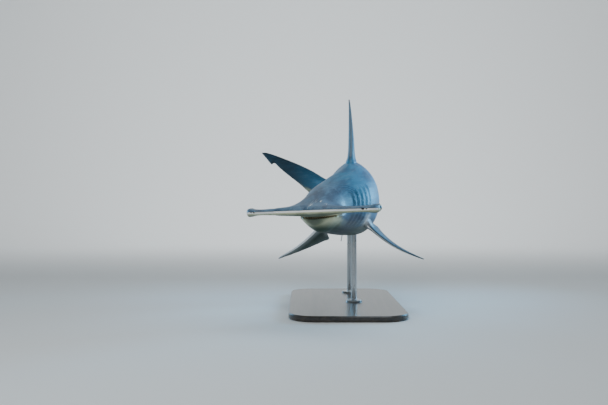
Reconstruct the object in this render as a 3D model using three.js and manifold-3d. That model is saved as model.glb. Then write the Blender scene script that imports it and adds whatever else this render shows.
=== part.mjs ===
// Scalloped hammerhead shark, life size, turning as it swims, held over a flat display base by two rods.
// Millimetres, +Z up. The origin is the centre of the base's underside, and the head points towards -Y.
//
// The flesh is drawn in the shark's own frame: x to its left, y backwards from the snout, z up from the
// plane of the hammer. The spine is straight through the head and bends sideways behind it.
import * as THREE from "three";
import { LoftGeometry } from "three/addons/geometries/LoftGeometry.js";
import { mergeVertices } from "three/addons/utils/BufferGeometryUtils.js";
import Module from "manifold-3d";

const wasm = await Module();
wasm.setup();

// Driving dimensions
const TL = 2400; // total length along the spine, snout to the tip of the tail
const HEAD_YAW = 19; // degrees that the head turns to its right, away from -Y
const BANK = 2.1; // degrees that the left side is raised
const HEAD_HEIGHT = 505; // the hammer's plane above the floor
const HEAD_PLACE = new THREE.Vector2(-215, -750); // the snout, in plan, from the centre of the base
const GAP = 0.35; // between neighbouring solids

const HEAD_END = 0.125 * TL;
const GILLS_END = 0.247 * TL;
const FRONT_TRUNK_END = 0.405 * TL;
const REAR_TRUNK_END = 0.56 * TL;
const STALK_END = 0.715 * TL;

const HAMMER_HALF = 0.126 * TL;
const NECK_HALF = 0.0425 * TL;
const EYE_RADIUS = 17;
const EYE_AT = { across: HAMMER_HALF - 13.5, back: 0.0615 * TL, up: 2 };
const LID_RING = 14.5;
const LID_THICK = 3.4;
const NOSTRIL_ACROSS = 0.104 * TL;

const JAW = { back: 0.12 * TL, up: -0.012 * TL, long: 0.059 * TL, half: 0.0425 * TL, deep: 0.031 * TL };
const JAW_TAPER = 0.75; // how much the jaw narrows towards the chin
const PALATE = -0.0118 * TL;
const MOUTH_CORNER = 0.1 * TL; // how far back the lips part
const MOUTH_OPEN = 6; // degrees that the jaw is dropped
const UPPER_TEETH = 24;
const LOWER_TEETH = 22;

const GILL_SLITS = 5;
const FIRST_GILL = 0.163 * TL;
const GILL_STEP = 0.0155 * TL;
const GILL_FLAP = 5.5; // how far a flap's free edge stands off the flank
const GILL_GROOVE = 3.5;
const GILL_LEAN = 0.22;

const BODY_SIDES = 32;
const BACK_PEAK = 0.35; // how far the back narrows towards its ridge
const FIN_SIDES = 14;
const ROW_STEP = 0.021 * TL;

const BASE = { long: 1040, wide: 560, thick: 28, corner: 120, edge: 5 };
const ROD_RADIUS = 14;
const ROD_FLANGE = { radius: 42, thick: 10 };
const ROD_BACK = [0.315 * TL, 0.47 * TL]; // where the rods meet the belly, back from the snout

const degrees = THREE.MathUtils.degToRad;
const lerp = THREE.MathUtils.lerp;
const clamp = THREE.MathUtils.clamp;

// Smooth value along a row of [place, value] stations.
function graded(stations) {
  const last = stations.length - 1;
  const slope = (k) => {
    const [fromPlace, fromValue] = stations[Math.max(k - 1, 0)];
    const [toPlace, toValue] = stations[Math.min(k + 1, last)];
    return (toValue - fromValue) / (toPlace - fromPlace);
  };
  return (place) => {
    if (place <= stations[0][0]) return stations[0][1];
    if (place >= stations[last][0]) return stations[last][1];
    const k = stations.findIndex(([at]) => at > place) - 1;
    const [x0, y0] = stations[k];
    const [x1, y1] = stations[k + 1];
    const h = x1 - x0;
    const t = (place - x0) / h;
    const back = 1 - t;
    return (
      y0 * (1 + 2 * t) * back * back +
      slope(k) * h * t * back * back +
      y1 * t * t * (3 - 2 * t) -
      slope(k + 1) * h * t * t * back
    );
  };
}

// Stations given as shares of the total length.
function profile(...stations) {
  return graded(stations.map(([at, value]) => [at * TL, value * TL]));
}

// The spine in plan: how far its heading has turned to the left from the head's, at shares of the length.
const BENDS = [
  [0.125, 0],
  [0.165, 8],
  [0.225, 6.5],
  [0.3, -10],
  [0.36, -20],
  [0.44, -18],
  [0.54, -18],
  [0.64, -32],
  [0.74, -57],
  [0.86, -70],
];
const SPINE_STEP = 6;
const heading = graded(BENDS.map(([at, turn]) => [at * TL, degrees(turn)]));
const spine = [new THREE.Vector2()];
for (let s = SPINE_STEP / 2; s < 1.1 * TL; s += SPINE_STEP) {
  const last = spine[spine.length - 1];
  spine.push(
    new THREE.Vector2(last.x + SPINE_STEP * Math.sin(heading(s)), last.y + SPINE_STEP * Math.cos(heading(s))),
  );
}

// A point given by its way back along the spine, across to the left, and up.
function place(back, across, up) {
  if (back <= 0) return new THREE.Vector3(across, back, up);
  const whole = Math.floor(back / SPINE_STEP);
  const on = spine[whole].clone().lerp(spine[whole + 1], back / SPINE_STEP - whole);
  const turn = heading(back);
  return new THREE.Vector3(on.x + across * Math.cos(turn), on.y - across * Math.sin(turn), up);
}

// Body outline, side and top: back, widest level, belly and half width.
const crown = profile(
  [0.125, 0.0465],
  [0.165, 0.059],
  [0.22, 0.078],
  [0.3, 0.101],
  [0.37, 0.106],
  [0.46, 0.099],
  [0.54, 0.0885],
  [0.62, 0.081],
  [0.68, 0.079],
  [0.715, 0.0795],
);
const waist = profile(
  [0.125, 0.0],
  [0.165, 0.004],
  [0.22, 0.009],
  [0.3, 0.016],
  [0.38, 0.023],
  [0.46, 0.033],
  [0.54, 0.042],
  [0.62, 0.0505],
  [0.715, 0.0605],
);
const keel = profile(
  [0.125, -0.0425],
  [0.165, -0.048],
  [0.22, -0.0525],
  [0.3, -0.0545],
  [0.38, -0.048],
  [0.46, -0.0265],
  [0.54, -0.002],
  [0.62, 0.023],
  [0.68, 0.0385],
  [0.715, 0.0445],
);
const half = profile(
  [0.125, 0.0425],
  [0.165, 0.0505],
  [0.22, 0.057],
  [0.3, 0.0568],
  [0.38, 0.056],
  [0.46, 0.05],
  [0.54, 0.037],
  [0.62, 0.0255],
  [0.68, 0.0185],
  [0.715, 0.0155],
);

// Closed solid from a geometry, with its faces turned outwards.
function solid(geometry) {
  const bare = new THREE.BufferGeometry().setAttribute("position", geometry.getAttribute("position"));
  bare.setIndex(geometry.index);
  const merged = mergeVertices(bare, 1e-3);
  const corners = merged.index.array;
  const triVerts = [];
  for (let i = 0; i < corners.length; i += 3) {
    const [a, b, c] = [corners[i], corners[i + 1], corners[i + 2]];
    if (a !== b && b !== c && c !== a) triVerts.push(a, b, c);
  }
  const build = (faces) =>
    new wasm.Manifold(
      new wasm.Mesh({
        numProp: 3,
        vertProperties: Float32Array.from(merged.attributes.position.array),
        triVerts: Uint32Array.from(faces),
      }),
    );
  const made = build(triVerts);
  return made.volume() > 0 ? made : build(triVerts.reverse());
}

// Closed solid through a row of sections; the first and the last are closed towards their middles.
function loft(sections) {
  const closing = (section) => {
    const middle = section.reduce((sum, point) => sum.add(point), new THREE.Vector3());
    return section.map(() => middle.clone().divideScalar(section.length));
  };
  const last = sections[sections.length - 1];
  return solid(new LoftGeometry([closing(sections[0]), ...sections, closing(last)]));
}

const join = (pieces) => pieces.reduce((all, piece) => all.add(piece));

// The largest closed surface of a solid.
function largest(made) {
  return made.decompose().reduce((best, piece) => (piece.volume() > best.volume() ? piece : best));
}

function ellipsoid(centre, radii, across = 28, down = 18) {
  const geometry = new THREE.SphereGeometry(1, across, down);
  geometry.scale(...radii);
  geometry.translate(...centre);
  return solid(geometry);
}

// The flank's relief: five flaps that rise to a free rear edge and drop into a slit.
function gillRelief(back, angle) {
  const level = Math.abs(Math.sin(angle));
  const facing = clamp((level - 0.72) / 0.2, 0, 1) * clamp((0.62 - Math.cos(angle)) / 0.3, 0, 1);
  if (facing === 0) return 0;
  for (let k = 0; k < GILL_SLITS; k++) {
    const behind = back - (FIRST_GILL + k * GILL_STEP);
    if (Math.abs(behind) < 1) return GILL_FLAP * facing;
    if (behind > 1 && behind < 5) return -GILL_GROOVE * facing;
  }
  return 0;
}

function bodySection(back, gap = 0) {
  const points = [];
  for (let k = 0; k < BODY_SIDES; k++) {
    const angle = (2 * Math.PI * k) / BODY_SIDES;
    const rise = Math.cos(angle);
    const tall = (rise > 0 ? crown(back) - waist(back) : waist(back) - keel(back)) + gap;
    const wide = half(back) + gap + gillRelief(back, angle);
    const peaked = 1 + Math.max(rise, 0) * BACK_PEAK * THREE.MathUtils.smoothstep(back, HEAD_END, GILLS_END);
    const lean = gillRelief(back, angle) ? GILL_LEAN * tall * rise : 0;
    const side = Math.sin(angle);
    const across = wide * Math.sign(side) * Math.abs(side) ** peaked;
    points.push(place(back + lean, across, waist(back) + tall * rise));
  }
  return points;
}

// Rows of sections, close together only where the gill flaps need them.
function bodyRows(from, to) {
  const rows = [from + GAP / 2];
  for (let k = 1; from + k * ROW_STEP < to - ROW_STEP / 2; k++) rows.push(from + k * ROW_STEP);
  for (let k = 0; k < GILL_SLITS; k++) {
    const edge = FIRST_GILL + k * GILL_STEP;
    if (edge > from && edge < to) rows.push(edge, edge + 4);
  }
  rows.push(to - GAP / 2);
  const tidy = [];
  for (const row of rows.sort((a, b) => a - b)) {
    if (!tidy.length || row - tidy[tidy.length - 1] > 3) tidy.push(row);
  }
  return tidy;
}

// One length of the body, or several neighbouring ones in a single solid.
const LENGTHS = [HEAD_END, GILLS_END, FRONT_TRUNK_END, REAR_TRUNK_END, STALK_END];
function bodyLength(from, to, gap = 0) {
  const ends = LENGTHS.filter((end) => end >= from && end <= to);
  const rows = ends.slice(1).flatMap((end, k) => bodyRows(ends[k], end));
  return loft(rows.map((row) => bodySection(row, gap)));
}

// Upper lobe of the tail: the stalk's section turns up along the lobe's axis and thins to a blade.
const LOBE_LENGTH = 0.288 * TL;
const LOBE_RISE = 25;
const lobeTilt = (q) => degrees(LOBE_RISE) * THREE.MathUtils.smoothstep(q, -0.12, 0.2);
const lobeAbove = graded([
  [0, 0.0185],
  [0.1, 0.0195],
  [0.3, 0.021],
  [0.5, 0.019],
  [0.7, 0.015],
  [0.85, 0.011],
  [0.94, 0.007],
  [1, 0.0012],
]);
const lobeBelow = graded([
  [0, 0.0165],
  [0.1, 0.026],
  [0.2, 0.038],
  [0.28, 0.039],
  [0.4, 0.032],
  [0.55, 0.0255],
  [0.7, 0.0175],
  [0.785, 0.011],
  [0.8, 0.0105],
  [0.825, 0.0185],
  [0.9, 0.0115],
  [1, 0.0012],
]);
const lobeThick = graded([
  [0, 0.0155],
  [0.1, 0.0105],
  [0.25, 0.0068],
  [0.5, 0.0044],
  [0.8, 0.0026],
  [1, 0.0008],
]);
const LOBE_ROWS = [
  ...[0, 0.03, 0.07, 0.12, 0.18, 0.24, 0.3, 0.38, 0.46, 0.54],
  ...[0.62, 0.7, 0.75, 0.793, 0.825, 0.87, 0.93, 0.975, 1],
];

function lobeAxis(q) {
  const steps = 24;
  const at = new THREE.Vector2(STALK_END, waist(STALK_END));
  for (let k = 0; k < steps; k++) {
    const tilt = lobeTilt((q * (k + 0.5)) / steps);
    at.x += ((q * LOBE_LENGTH) / steps) * Math.cos(tilt);
    at.y += ((q * LOBE_LENGTH) / steps) * Math.sin(tilt);
  }
  return at;
}

function lobeSection(q, gap = 0) {
  const at = lobeAxis(q);
  const tilt = lobeTilt(q) * THREE.MathUtils.smoothstep(q, -0.001, 0.08);
  const blade = THREE.MathUtils.smoothstep(q, 0, 0.25);
  const points = [];
  for (let k = 0; k < BODY_SIDES; k++) {
    const angle = (2 * Math.PI * k) / BODY_SIDES;
    const rise = Math.cos(angle);
    const side = Math.sin(angle);
    const reach = ((rise > 0 ? lobeAbove(q) : lobeBelow(q)) * TL + gap) * rise;
    const sharp = rise < 0 ? 1 + 0.7 * blade : 1;
    const wide = (lobeThick(q) * TL + gap) * Math.sign(side) * Math.abs(side) ** sharp;
    points.push(place(at.x - reach * Math.sin(tilt), wide, at.y + reach * Math.cos(tilt)));
  }
  return points;
}

const upperLobe = (gap = 0) =>
  loft(LOBE_ROWS.map((q) => lobeSection(Math.max(q, GAP / 2 / LOBE_LENGTH), gap)));

// A fin's blade. Its outline is read from the leading and trailing edges along the span, and `at` turns
// (chord, thickness, span) into a point.
function finBlade(fin, at) {
  const lead = graded(fin.lead);
  const trail = graded(fin.trail);
  const sections = fin.rows.map((t) => {
    const span = t * fin.span;
    const from = lead(t) * TL;
    const chord = trail(t) * TL - from;
    const flare = fin.flare * Math.exp(-Math.max(span, 0) / fin.flareHeight);
    const thick = lerp(fin.rootThick, fin.tipThick, clamp(t, 0, 1)) + flare;
    const points = [];
    for (let k = 0; k < FIN_SIDES; k++) {
      const turn = (2 * Math.PI * k) / FIN_SIDES;
      const along = (1 - Math.cos(turn)) / 2;
      const bulge = Math.sin(turn) * (1 - 0.72 * along) * 0.66;
      points.push(at(from + chord * along, thick * bulge, span));
    }
    return points;
  });
  return loft(sections);
}

const FIN_ROWS = [0.05, 0.1, 0.16, 0.24, 0.34, 0.46, 0.58, 0.7, 0.82, 0.92, 0.98, 1];

const FIRST_DORSAL = {
  back: 0.278 * TL,
  span: 0.143 * TL,
  lead: [[0, 0], [0.2, 0.026], [0.4, 0.049], [0.6, 0.069], [0.8, 0.086], [0.93, 0.1], [1, 0.1125]],
  trail: [
    [0, 0.094],
    [0.05, 0.122],
    [0.1, 0.118],
    [0.2, 0.107],
    [0.35, 0.1],
    [0.55, 0.098],
    [0.8, 0.104],
    [0.95, 0.1145],
    [1, 0.1175],
  ],
  rootThick: 42,
  tipThick: 7,
  flare: 16,
  flareHeight: 16,
  lean: 0.03, // to the left
  rows: [-0.16, ...FIN_ROWS],
};
const SECOND_DORSAL = {
  back: 0.652 * TL,
  span: 0.0215 * TL,
  lead: [[0, 0], [0.5, 0.016], [0.85, 0.026], [1, 0.033]],
  trail: [[0, 0.031], [0.12, 0.066], [0.25, 0.057], [0.5, 0.043], [0.8, 0.037], [1, 0.0365]],
  rootThick: 11,
  tipThick: 4,
  flare: 8,
  flareHeight: 9,
  lean: 0,
  rows: [-0.3, 0.06, 0.14, 0.26, 0.42, 0.6, 0.78, 0.93, 1],
};
const ANAL_FIN = {
  back: 0.635 * TL,
  span: 0.042 * TL,
  lead: [[0, 0], [0.4, 0.017], [0.8, 0.033], [1, 0.046]],
  trail: [[0, 0.05], [0.12, 0.077], [0.28, 0.06], [0.5, 0.048], [0.75, 0.046], [1, 0.0495]],
  rootThick: 12,
  tipThick: 4,
  flare: 8,
  flareHeight: 9,
  rows: [-0.3, 0.06, 0.14, 0.26, 0.42, 0.6, 0.78, 0.93, 1],
};
const LOWER_LOBE = {
  back: STALK_END + 0.004 * TL,
  up: 0.0565 * TL,
  span: 0.122 * TL,
  lead: [[0, 0], [0.3, 0.014], [0.6, 0.032], [0.85, 0.05], [1, 0.065]],
  trail: [[0, 0.086], [0.15, 0.08], [0.35, 0.073], [0.6, 0.068], [0.85, 0.0675], [1, 0.069]],
  rootThick: 20,
  tipThick: 5,
  flare: 4,
  flareHeight: 20,
  rows: [-0.02, ...FIN_ROWS],
};
const PECTORAL = {
  back: 0.222 * TL,
  inside: 0.043 * TL,
  level: -0.024 * TL,
  bow: 22,
  span: 0.14 * TL,
  lead: [[0, 0], [0.2, 0.01], [0.4, 0.024], [0.6, 0.04], [0.8, 0.059], [0.93, 0.073], [1, 0.084]],
  trail: [
    [0, 0.062],
    [0.1, 0.067],
    [0.16, 0.111],
    [0.24, 0.103],
    [0.4, 0.09],
    [0.6, 0.082],
    [0.85, 0.083],
    [1, 0.087],
  ],
  rootThick: 35,
  tipThick: 6,
  flare: 20,
  flareHeight: 36,
  rows: [0, 0.07, 0.12, 0.16, 0.22, 0.32, 0.45, 0.56, 0.68, 0.8, 0.9, 0.97, 1],
};
const PELVIC = {
  back: 0.478 * TL,
  inside: 0.012 * TL,
  level: -0.017 * TL,
  bow: 2,
  span: 0.062 * TL,
  lead: [[0, 0], [0.4, 0.012], [0.8, 0.027], [1, 0.038]],
  trail: [[0, 0.05], [0.2, 0.055], [0.34, 0.072], [0.5, 0.062], [0.75, 0.05], [1, 0.042]],
  rootThick: 14,
  tipThick: 4,
  flare: 6,
  flareHeight: 12,
  rows: [-0.1, 0.16, 0.26, 0.34, 0.42, 0.54, 0.68, 0.84, 1],
};

// Fins on the midline follow the spine and the back or belly under them.
function backFin(fin) {
  return finBlade(fin, (chord, off, span) =>
    place(fin.back + chord, off + fin.lean * span, crown(fin.back + chord) + span),
  );
}

function bellyFin(fin) {
  return finBlade(fin, (chord, off, span) => place(fin.back + chord, off, keel(fin.back + chord) - span));
}

function lowerLobe(fin) {
  return finBlade(fin, (chord, off, span) => place(fin.back + chord, off, fin.up - span));
}

// Paired fins are stiff blades that stand out from the flank, side 1 on the left and -1 on the right. They
// droop by so many degrees, their leading edge is pitched up by so many, and they reach forward by so many.
function sideFin(fin, side, droop, pitch, forward = 0) {
  const root = place(fin.back, side * fin.inside, fin.level);
  const turn = heading(fin.back + 0.03 * TL) + side * degrees(forward);
  const rearward = new THREE.Vector3(Math.sin(turn), Math.cos(turn), 0);
  const outward = new THREE.Vector3(side * Math.cos(turn), -side * Math.sin(turn), 0);
  const reach = outward.multiplyScalar(Math.cos(degrees(droop)));
  reach.z -= Math.sin(degrees(droop));
  const chordwise = rearward.applyAxisAngle(reach, side * degrees(-pitch));
  const through = new THREE.Vector3().crossVectors(chordwise, reach);
  return finBlade(fin, (chord, off, span) => {
    const bowed = off + side * fin.bow * Math.sin(Math.PI * clamp(span / fin.span, 0, 1));
    const on = root.clone().addScaledVector(chordwise, chord).addScaledVector(reach, span);
    return on.addScaledVector(through, bowed);
  });
}

// Hammer, in plan: scalloped front edge, rounded ends, and a rear edge that runs into the neck.
const bump = (x, at, width) => Math.exp(-(((x - at) / width) ** 2));

const END_CURVE_FROM = HAMMER_HALF - 0.0165 * TL;

function endCurve(across) {
  const t = clamp((across - END_CURVE_FROM) / (HAMMER_HALF - END_CURVE_FROM), 0, 1);
  return 1 - Math.sqrt(1 - t * t);
}

function frontEdge(across) {
  const x = Math.abs(across) / TL;
  const arch = 0.034 * (x / 0.128) ** 2.1;
  const scallops = 0.006 * bump(x, 0, 0.011) + 0.0042 * bump(x, 0.061, 0.011) + 0.0036 * bump(x, 0.104, 0.0055);
  return (arch + scallops + 0.0225 * endCurve(Math.abs(across))) * TL;
}

function rearEdge(across) {
  const x = Math.abs(across) / TL;
  if (Math.abs(across) <= NECK_HALF) return HEAD_END;
  const fillet = 0.042 * Math.exp(-(x - NECK_HALF / TL) / 0.0105);
  const sweep = 0.083 - 0.003 * bump(x, 0.1, 0.02);
  return (sweep + fillet - 0.0175 * endCurve(Math.abs(across))) * TL;
}

const wingThick = profile(
  [0, 0.0085],
  [0.045, 0.0078],
  [0.068, 0.0062],
  [0.09, 0.0055],
  [0.106, 0.0062],
  [0.119, 0.0082],
  [0.128, 0.0072],
);
const domeAbove = profile([0, 0.003], [0.03, 0.013], [0.06, 0.0245], [0.09, 0.0355], [0.125, 0.047]);
const domeBelow = profile(
  [0, 0.005],
  [0.03, 0.008],
  [0.055, 0.0094],
  [0.08, 0.0155],
  [0.1, 0.027],
  [0.125, 0.0425],
);
const domeHalf = profile([0, 0.062], [0.03, 0.056], [0.06, 0.047], [0.09, 0.0415], [0.125, 0.0425]);
const domeFall = graded([
  [0, 1.7],
  [0.06 * TL, 1.3],
  [0.09 * TL, 0.85],
  [0.125 * TL, 0.5],
]);

// Height of the head's skin above (side 1) or below (side -1) the hammer's plane.
function headHeight(back, across, side) {
  const fromFront = back - frontEdge(across);
  const fromRear = rearEdge(across) - back;
  const nose = Math.sqrt(1 - (1 - clamp(fromFront / (0.013 * TL), 0, 1)) ** 2);
  const inNeck = 1 - THREE.MathUtils.smoothstep(Math.abs(across), 0.85 * NECK_HALF, 1.1 * NECK_HALF);
  const heel = Math.max(1 - (1 - clamp(fromRear / (0.03 * TL), 0, 1)) ** 1.7, 0.06 * (1 - inNeck));
  const wing = wingThick(Math.abs(across)) * nose * (side > 0 ? 0.88 : 1.05) * heel;
  const share = clamp(1 - (across / domeHalf(back)) ** 2, 0, 1);
  const dome = (side > 0 ? domeAbove(back) : domeBelow(back)) * nose * share ** domeFall(back);
  return side * (wing ** 3 + dome ** 3) ** (1 / 3);
}

const HEAD_COLUMNS = 46;
const HEAD_CHORD = 11;
const TIP_SPAN = 0.996;

function headShell() {
  const sections = [];
  for (let i = 0; i <= HEAD_COLUMNS; i++) {
    const across = -TIP_SPAN * HAMMER_HALF * Math.cos((Math.PI * i) / HEAD_COLUMNS);
    const from = frontEdge(across);
    const to = rearEdge(across) - GAP / 2;
    const points = [];
    for (let j = 0; j <= HEAD_CHORD; j++) {
      const back = lerp(to, from, (1 - Math.cos((Math.PI * j) / HEAD_CHORD)) / 2);
      points.push(new THREE.Vector3(across, back, headHeight(back, across, 1)));
    }
    for (let j = HEAD_CHORD - 1; j >= 0; j--) {
      const back = lerp(to, from, (1 - Math.cos((Math.PI * j) / HEAD_CHORD)) / 2);
      points.push(new THREE.Vector3(across, back, headHeight(back, across, -1)));
    }
    sections.push(points);
  }
  return loft(sections);
}

// Lower jaw: a scoop under the palate, dropped a little about the corners of the mouth.
const ALONG_BACK = [0, 1, 0];
const DOWN = [0, 0, -1];

function jawScoop(gap = 0) {
  const ball = ellipsoid([0, JAW.back, JAW.up], [JAW.half + gap, JAW.long + gap, JAW.deep + gap], 36, 20);
  const chin = PALATE - JAW.up + JAW.deep;
  return ball.warp((point) => {
    point[0] /= 1 + JAW_TAPER * clamp((PALATE - point[2]) / chin, 0, 1);
  });
}

function jawTopAt(back) {
  return PALATE - GAP - Math.max(MOUTH_CORNER - back, 0) * Math.tan(degrees(MOUTH_OPEN));
}

function lowerJaw() {
  const drop = degrees(MOUTH_OPEN);
  const lip = [0, Math.sin(drop), -Math.cos(drop)];
  const lipOffset = MOUTH_CORNER * lip[1] + (PALATE - GAP) * lip[2];
  return jawScoop()
    .trimByPlane(DOWN, -(PALATE - GAP))
    .trimByPlane(lip, lipOffset)
    .trimByPlane([0, -1, 0], -(HEAD_END - GAP / 2));
}

// One tooth, its root sunk into the gum. `lift` is 1 for the lower row and -1 for the upper.
const TOOTH_ROOT = 4;
function tooth(across, back, root, lift, tall) {
  const geometry = new THREE.ConeGeometry(2.9, tall + TOOTH_ROOT, 5);
  geometry.rotateX((lift * Math.PI) / 2);
  geometry.translate(across, back, root + (lift * (tall - TOOTH_ROOT)) / 2);
  return solid(geometry);
}

// Places round the mouth's arch, inside the lip by `inset`, from corner to corner.
function archPlaces(count, inset, level) {
  const shrink = Math.sqrt(1 - ((level - JAW.up) / JAW.deep) ** 2);
  const places = [];
  for (let k = 0; k < count; k++) {
    const turn = lerp(-1.12, 1.12, count === 1 ? 0.5 : k / (count - 1));
    places.push([
      Math.sin(turn) * (JAW.half * shrink - inset),
      JAW.back - Math.cos(turn) * (JAW.long * shrink - inset),
    ]);
  }
  return places;
}

function teeth(count, inset, lift) {
  const made = [];
  for (const [across, back] of archPlaces(count, inset, PALATE)) {
    const open = PALATE - jawTopAt(back);
    if (open < 3.2) continue;
    const root = lift > 0 ? jawTopAt(back) : PALATE;
    made.push(tooth(across, back, root, lift, 0.6 * open));
  }
  return made;
}

// Nostril: a slit in the front edge near each end, with a flap of skin over its middle.
function nostrilCut(side) {
  const across = side * NOSTRIL_ACROSS;
  return ellipsoid([across, frontEdge(across) + 1, -1.5], [15, 9, 3.6], 16, 10);
}

function nostrilFlap(side) {
  const across = side * (NOSTRIL_ACROSS + 3);
  return ellipsoid([across, frontEdge(across) + 5, -4.5], [4.2, 6, 5.2], 10, 8);
}

// Lids: a thick rim of skin round each eye.
function lids(side) {
  const geometry = new THREE.TorusGeometry(LID_RING, LID_THICK, 8, 28);
  geometry.rotateY(Math.PI / 2);
  geometry.scale(1, 1.12, 1);
  geometry.translate(side * (EYE_AT.across + 7), EYE_AT.back, EYE_AT.up);
  return solid(geometry);
}

const eyeBall = (side, gap = 0) =>
  ellipsoid(
    [side * EYE_AT.across, EYE_AT.back, EYE_AT.up],
    [EYE_RADIUS + gap, EYE_RADIUS + gap, EYE_RADIUS + gap],
    24,
    16,
  );

function head() {
  let made = join([headShell(), lids(1), lids(-1)]);
  const mouth = jawScoop(GAP).trimByPlane(DOWN, -PALATE);
  made = made.subtract(mouth);
  for (const side of [1, -1]) {
    made = made.subtract(nostrilCut(side)).add(nostrilFlap(side)).subtract(eyeBall(side, GAP));
  }
  return largest(join([largest(made), ...teeth(UPPER_TEETH, 6, -1)]));
}

const jawWithTeeth = () => largest(join([lowerJaw(), ...teeth(LOWER_TEETH, 9, 1)]));

// Skins and other finishes
const skin = new THREE.MeshStandardMaterial({ color: 0x5f7688, roughness: 0.55, metalness: 0 });
const finSkin = new THREE.MeshStandardMaterial({ color: 0x566b7c, roughness: 0.6, metalness: 0 });
const eyeGlass = new THREE.MeshStandardMaterial({ color: 0x14161a, roughness: 0.08, metalness: 0 });
const baseFinish = new THREE.MeshStandardMaterial({ color: 0x24272b, roughness: 0.45, metalness: 0 });
const rodSteel = new THREE.MeshStandardMaterial({ color: 0xb4b8bc, roughness: 0.3, metalness: 1 });

const shark = new THREE.Group();
shark.rotation.order = "ZYX";
shark.rotation.set(0, degrees(-BANK), degrees(-HEAD_YAW));
shark.position.set(HEAD_PLACE.x, HEAD_PLACE.y, HEAD_HEIGHT);
shark.updateMatrixWorld(true);

function meshOf(made, name, material) {
  const { numProp, vertProperties, triVerts } = made.getMesh();
  const geometry = new THREE.BufferGeometry();
  const position = new Float32Array((vertProperties.length / numProp) * 3);
  for (let i = 0; i < position.length / 3; i++) {
    position.set(vertProperties.subarray(i * numProp, i * numProp + 3), i * 3);
  }
  geometry.setAttribute("position", new THREE.BufferAttribute(position, 3));
  geometry.setIndex(new THREE.BufferAttribute(triVerts, 1));
  geometry.computeVertexNormals();
  const mesh = new THREE.Mesh(geometry, material);
  mesh.name = name;
  return mesh;
}

const flesh = (made, name, material = skin) => shark.add(meshOf(made, name, material));

// The grown body trims each fin's root, so that the fin meets the flank face to face.
const grownBody = bodyLength(HEAD_END, STALK_END, GAP);
const grownTail = join([bodyLength(REAR_TRUNK_END, STALK_END, GAP), upperLobe(GAP)]);
const trimmed = (fin, by) => largest(fin.subtract(by));

flesh(head(), "head");
flesh(jawWithTeeth(), "lower_jaw");
flesh(eyeBall(1), "eye_left", eyeGlass);
flesh(eyeBall(-1), "eye_right", eyeGlass);
flesh(bodyLength(HEAD_END, GILLS_END), "gill_region");
flesh(bodyLength(GILLS_END, FRONT_TRUNK_END), "trunk_front");
flesh(bodyLength(FRONT_TRUNK_END, REAR_TRUNK_END), "trunk_rear");
flesh(bodyLength(REAR_TRUNK_END, STALK_END), "tail_stalk");
flesh(upperLobe(), "caudal_upper_lobe", finSkin);
flesh(trimmed(lowerLobe(LOWER_LOBE), grownTail), "caudal_lower_lobe", finSkin);
flesh(trimmed(backFin(FIRST_DORSAL), grownBody), "first_dorsal_fin", finSkin);
flesh(trimmed(backFin(SECOND_DORSAL), grownBody), "second_dorsal_fin", finSkin);
flesh(trimmed(bellyFin(ANAL_FIN), grownBody), "anal_fin", finSkin);
flesh(trimmed(sideFin(PECTORAL, 1, 37, 1, -7), grownBody), "pectoral_fin_left", finSkin);
flesh(trimmed(sideFin(PECTORAL, -1, 25, 15, 10), grownBody), "pectoral_fin_right", finSkin);
flesh(trimmed(sideFin(PELVIC, 1, 39, 2), grownBody), "pelvic_fin_left", finSkin);
flesh(trimmed(sideFin(PELVIC, -1, 80, 2), grownBody), "pelvic_fin_right", finSkin);

// Stand: a flat base with rounded corners, and two rods that end against the belly.
function standBase() {
  const [x, y, r] = [BASE.wide / 2 - BASE.edge, BASE.long / 2 - BASE.edge, BASE.corner];
  const outline = new THREE.Shape();
  outline.moveTo(x - r, -y).absarc(x - r, -y + r, r, -Math.PI / 2, 0);
  outline.absarc(x - r, y - r, r, 0, Math.PI / 2);
  outline.absarc(-x + r, y - r, r, Math.PI / 2, Math.PI);
  outline.absarc(-x + r, -y + r, r, Math.PI, 1.5 * Math.PI);
  const geometry = new THREE.ExtrudeGeometry(outline, {
    depth: BASE.thick - 2 * BASE.edge,
    bevelThickness: BASE.edge,
    bevelSize: BASE.edge,
    bevelSegments: 1,
    curveSegments: 8,
  });
  geometry.translate(0, 0, BASE.edge);
  return solid(geometry);
}

function standRod(back) {
  const foot = shark.localToWorld(place(back, 0, keel(back)));
  const low = BASE.thick + GAP;
  const top = foot.z + 30;
  const profileLine = [
    [0, low],
    [ROD_FLANGE.radius, low],
    [ROD_FLANGE.radius, low + ROD_FLANGE.thick - 3],
    [ROD_FLANGE.radius - 3, low + ROD_FLANGE.thick],
    [ROD_RADIUS + 4, low + ROD_FLANGE.thick],
    [ROD_RADIUS, low + ROD_FLANGE.thick + 4],
    [ROD_RADIUS, top],
    [0, top],
  ].map(([radius, up]) => new THREE.Vector2(radius, up));
  const geometry = new THREE.LatheGeometry(profileLine, 24);
  geometry.rotateX(Math.PI / 2);
  geometry.translate(foot.x, foot.y, 0);
  const lowered = new THREE.Matrix4().makeTranslation(0, 0, -GAP).multiply(shark.matrixWorld);
  return largest(solid(geometry).subtract(bodyLength(GILLS_END, STALK_END).transform(lowered.elements)));
}

const model = new THREE.Group();
model.add(shark);
model.add(meshOf(standBase(), "stand_base", baseFinish));
model.add(meshOf(standRod(ROD_BACK[0]), "stand_rod_front", rodSteel));
model.add(meshOf(standRod(ROD_BACK[1]), "stand_rod_rear", rodSteel));

export default model;
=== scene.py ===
# A scalloped hammerhead shark, life size, turning as it swims, held over a display base by two rods.
# The skin is one piece: sheets wrapped to the body, hammer, jaw and fins are fused, smoothed and worked over
# for gill slits, folds, lips and nostrils. Eyes and teeth are pieces of their own. Lengths are in metres.
import math

import bpy
import numpy as np
from mathutils import Matrix, Vector


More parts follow.
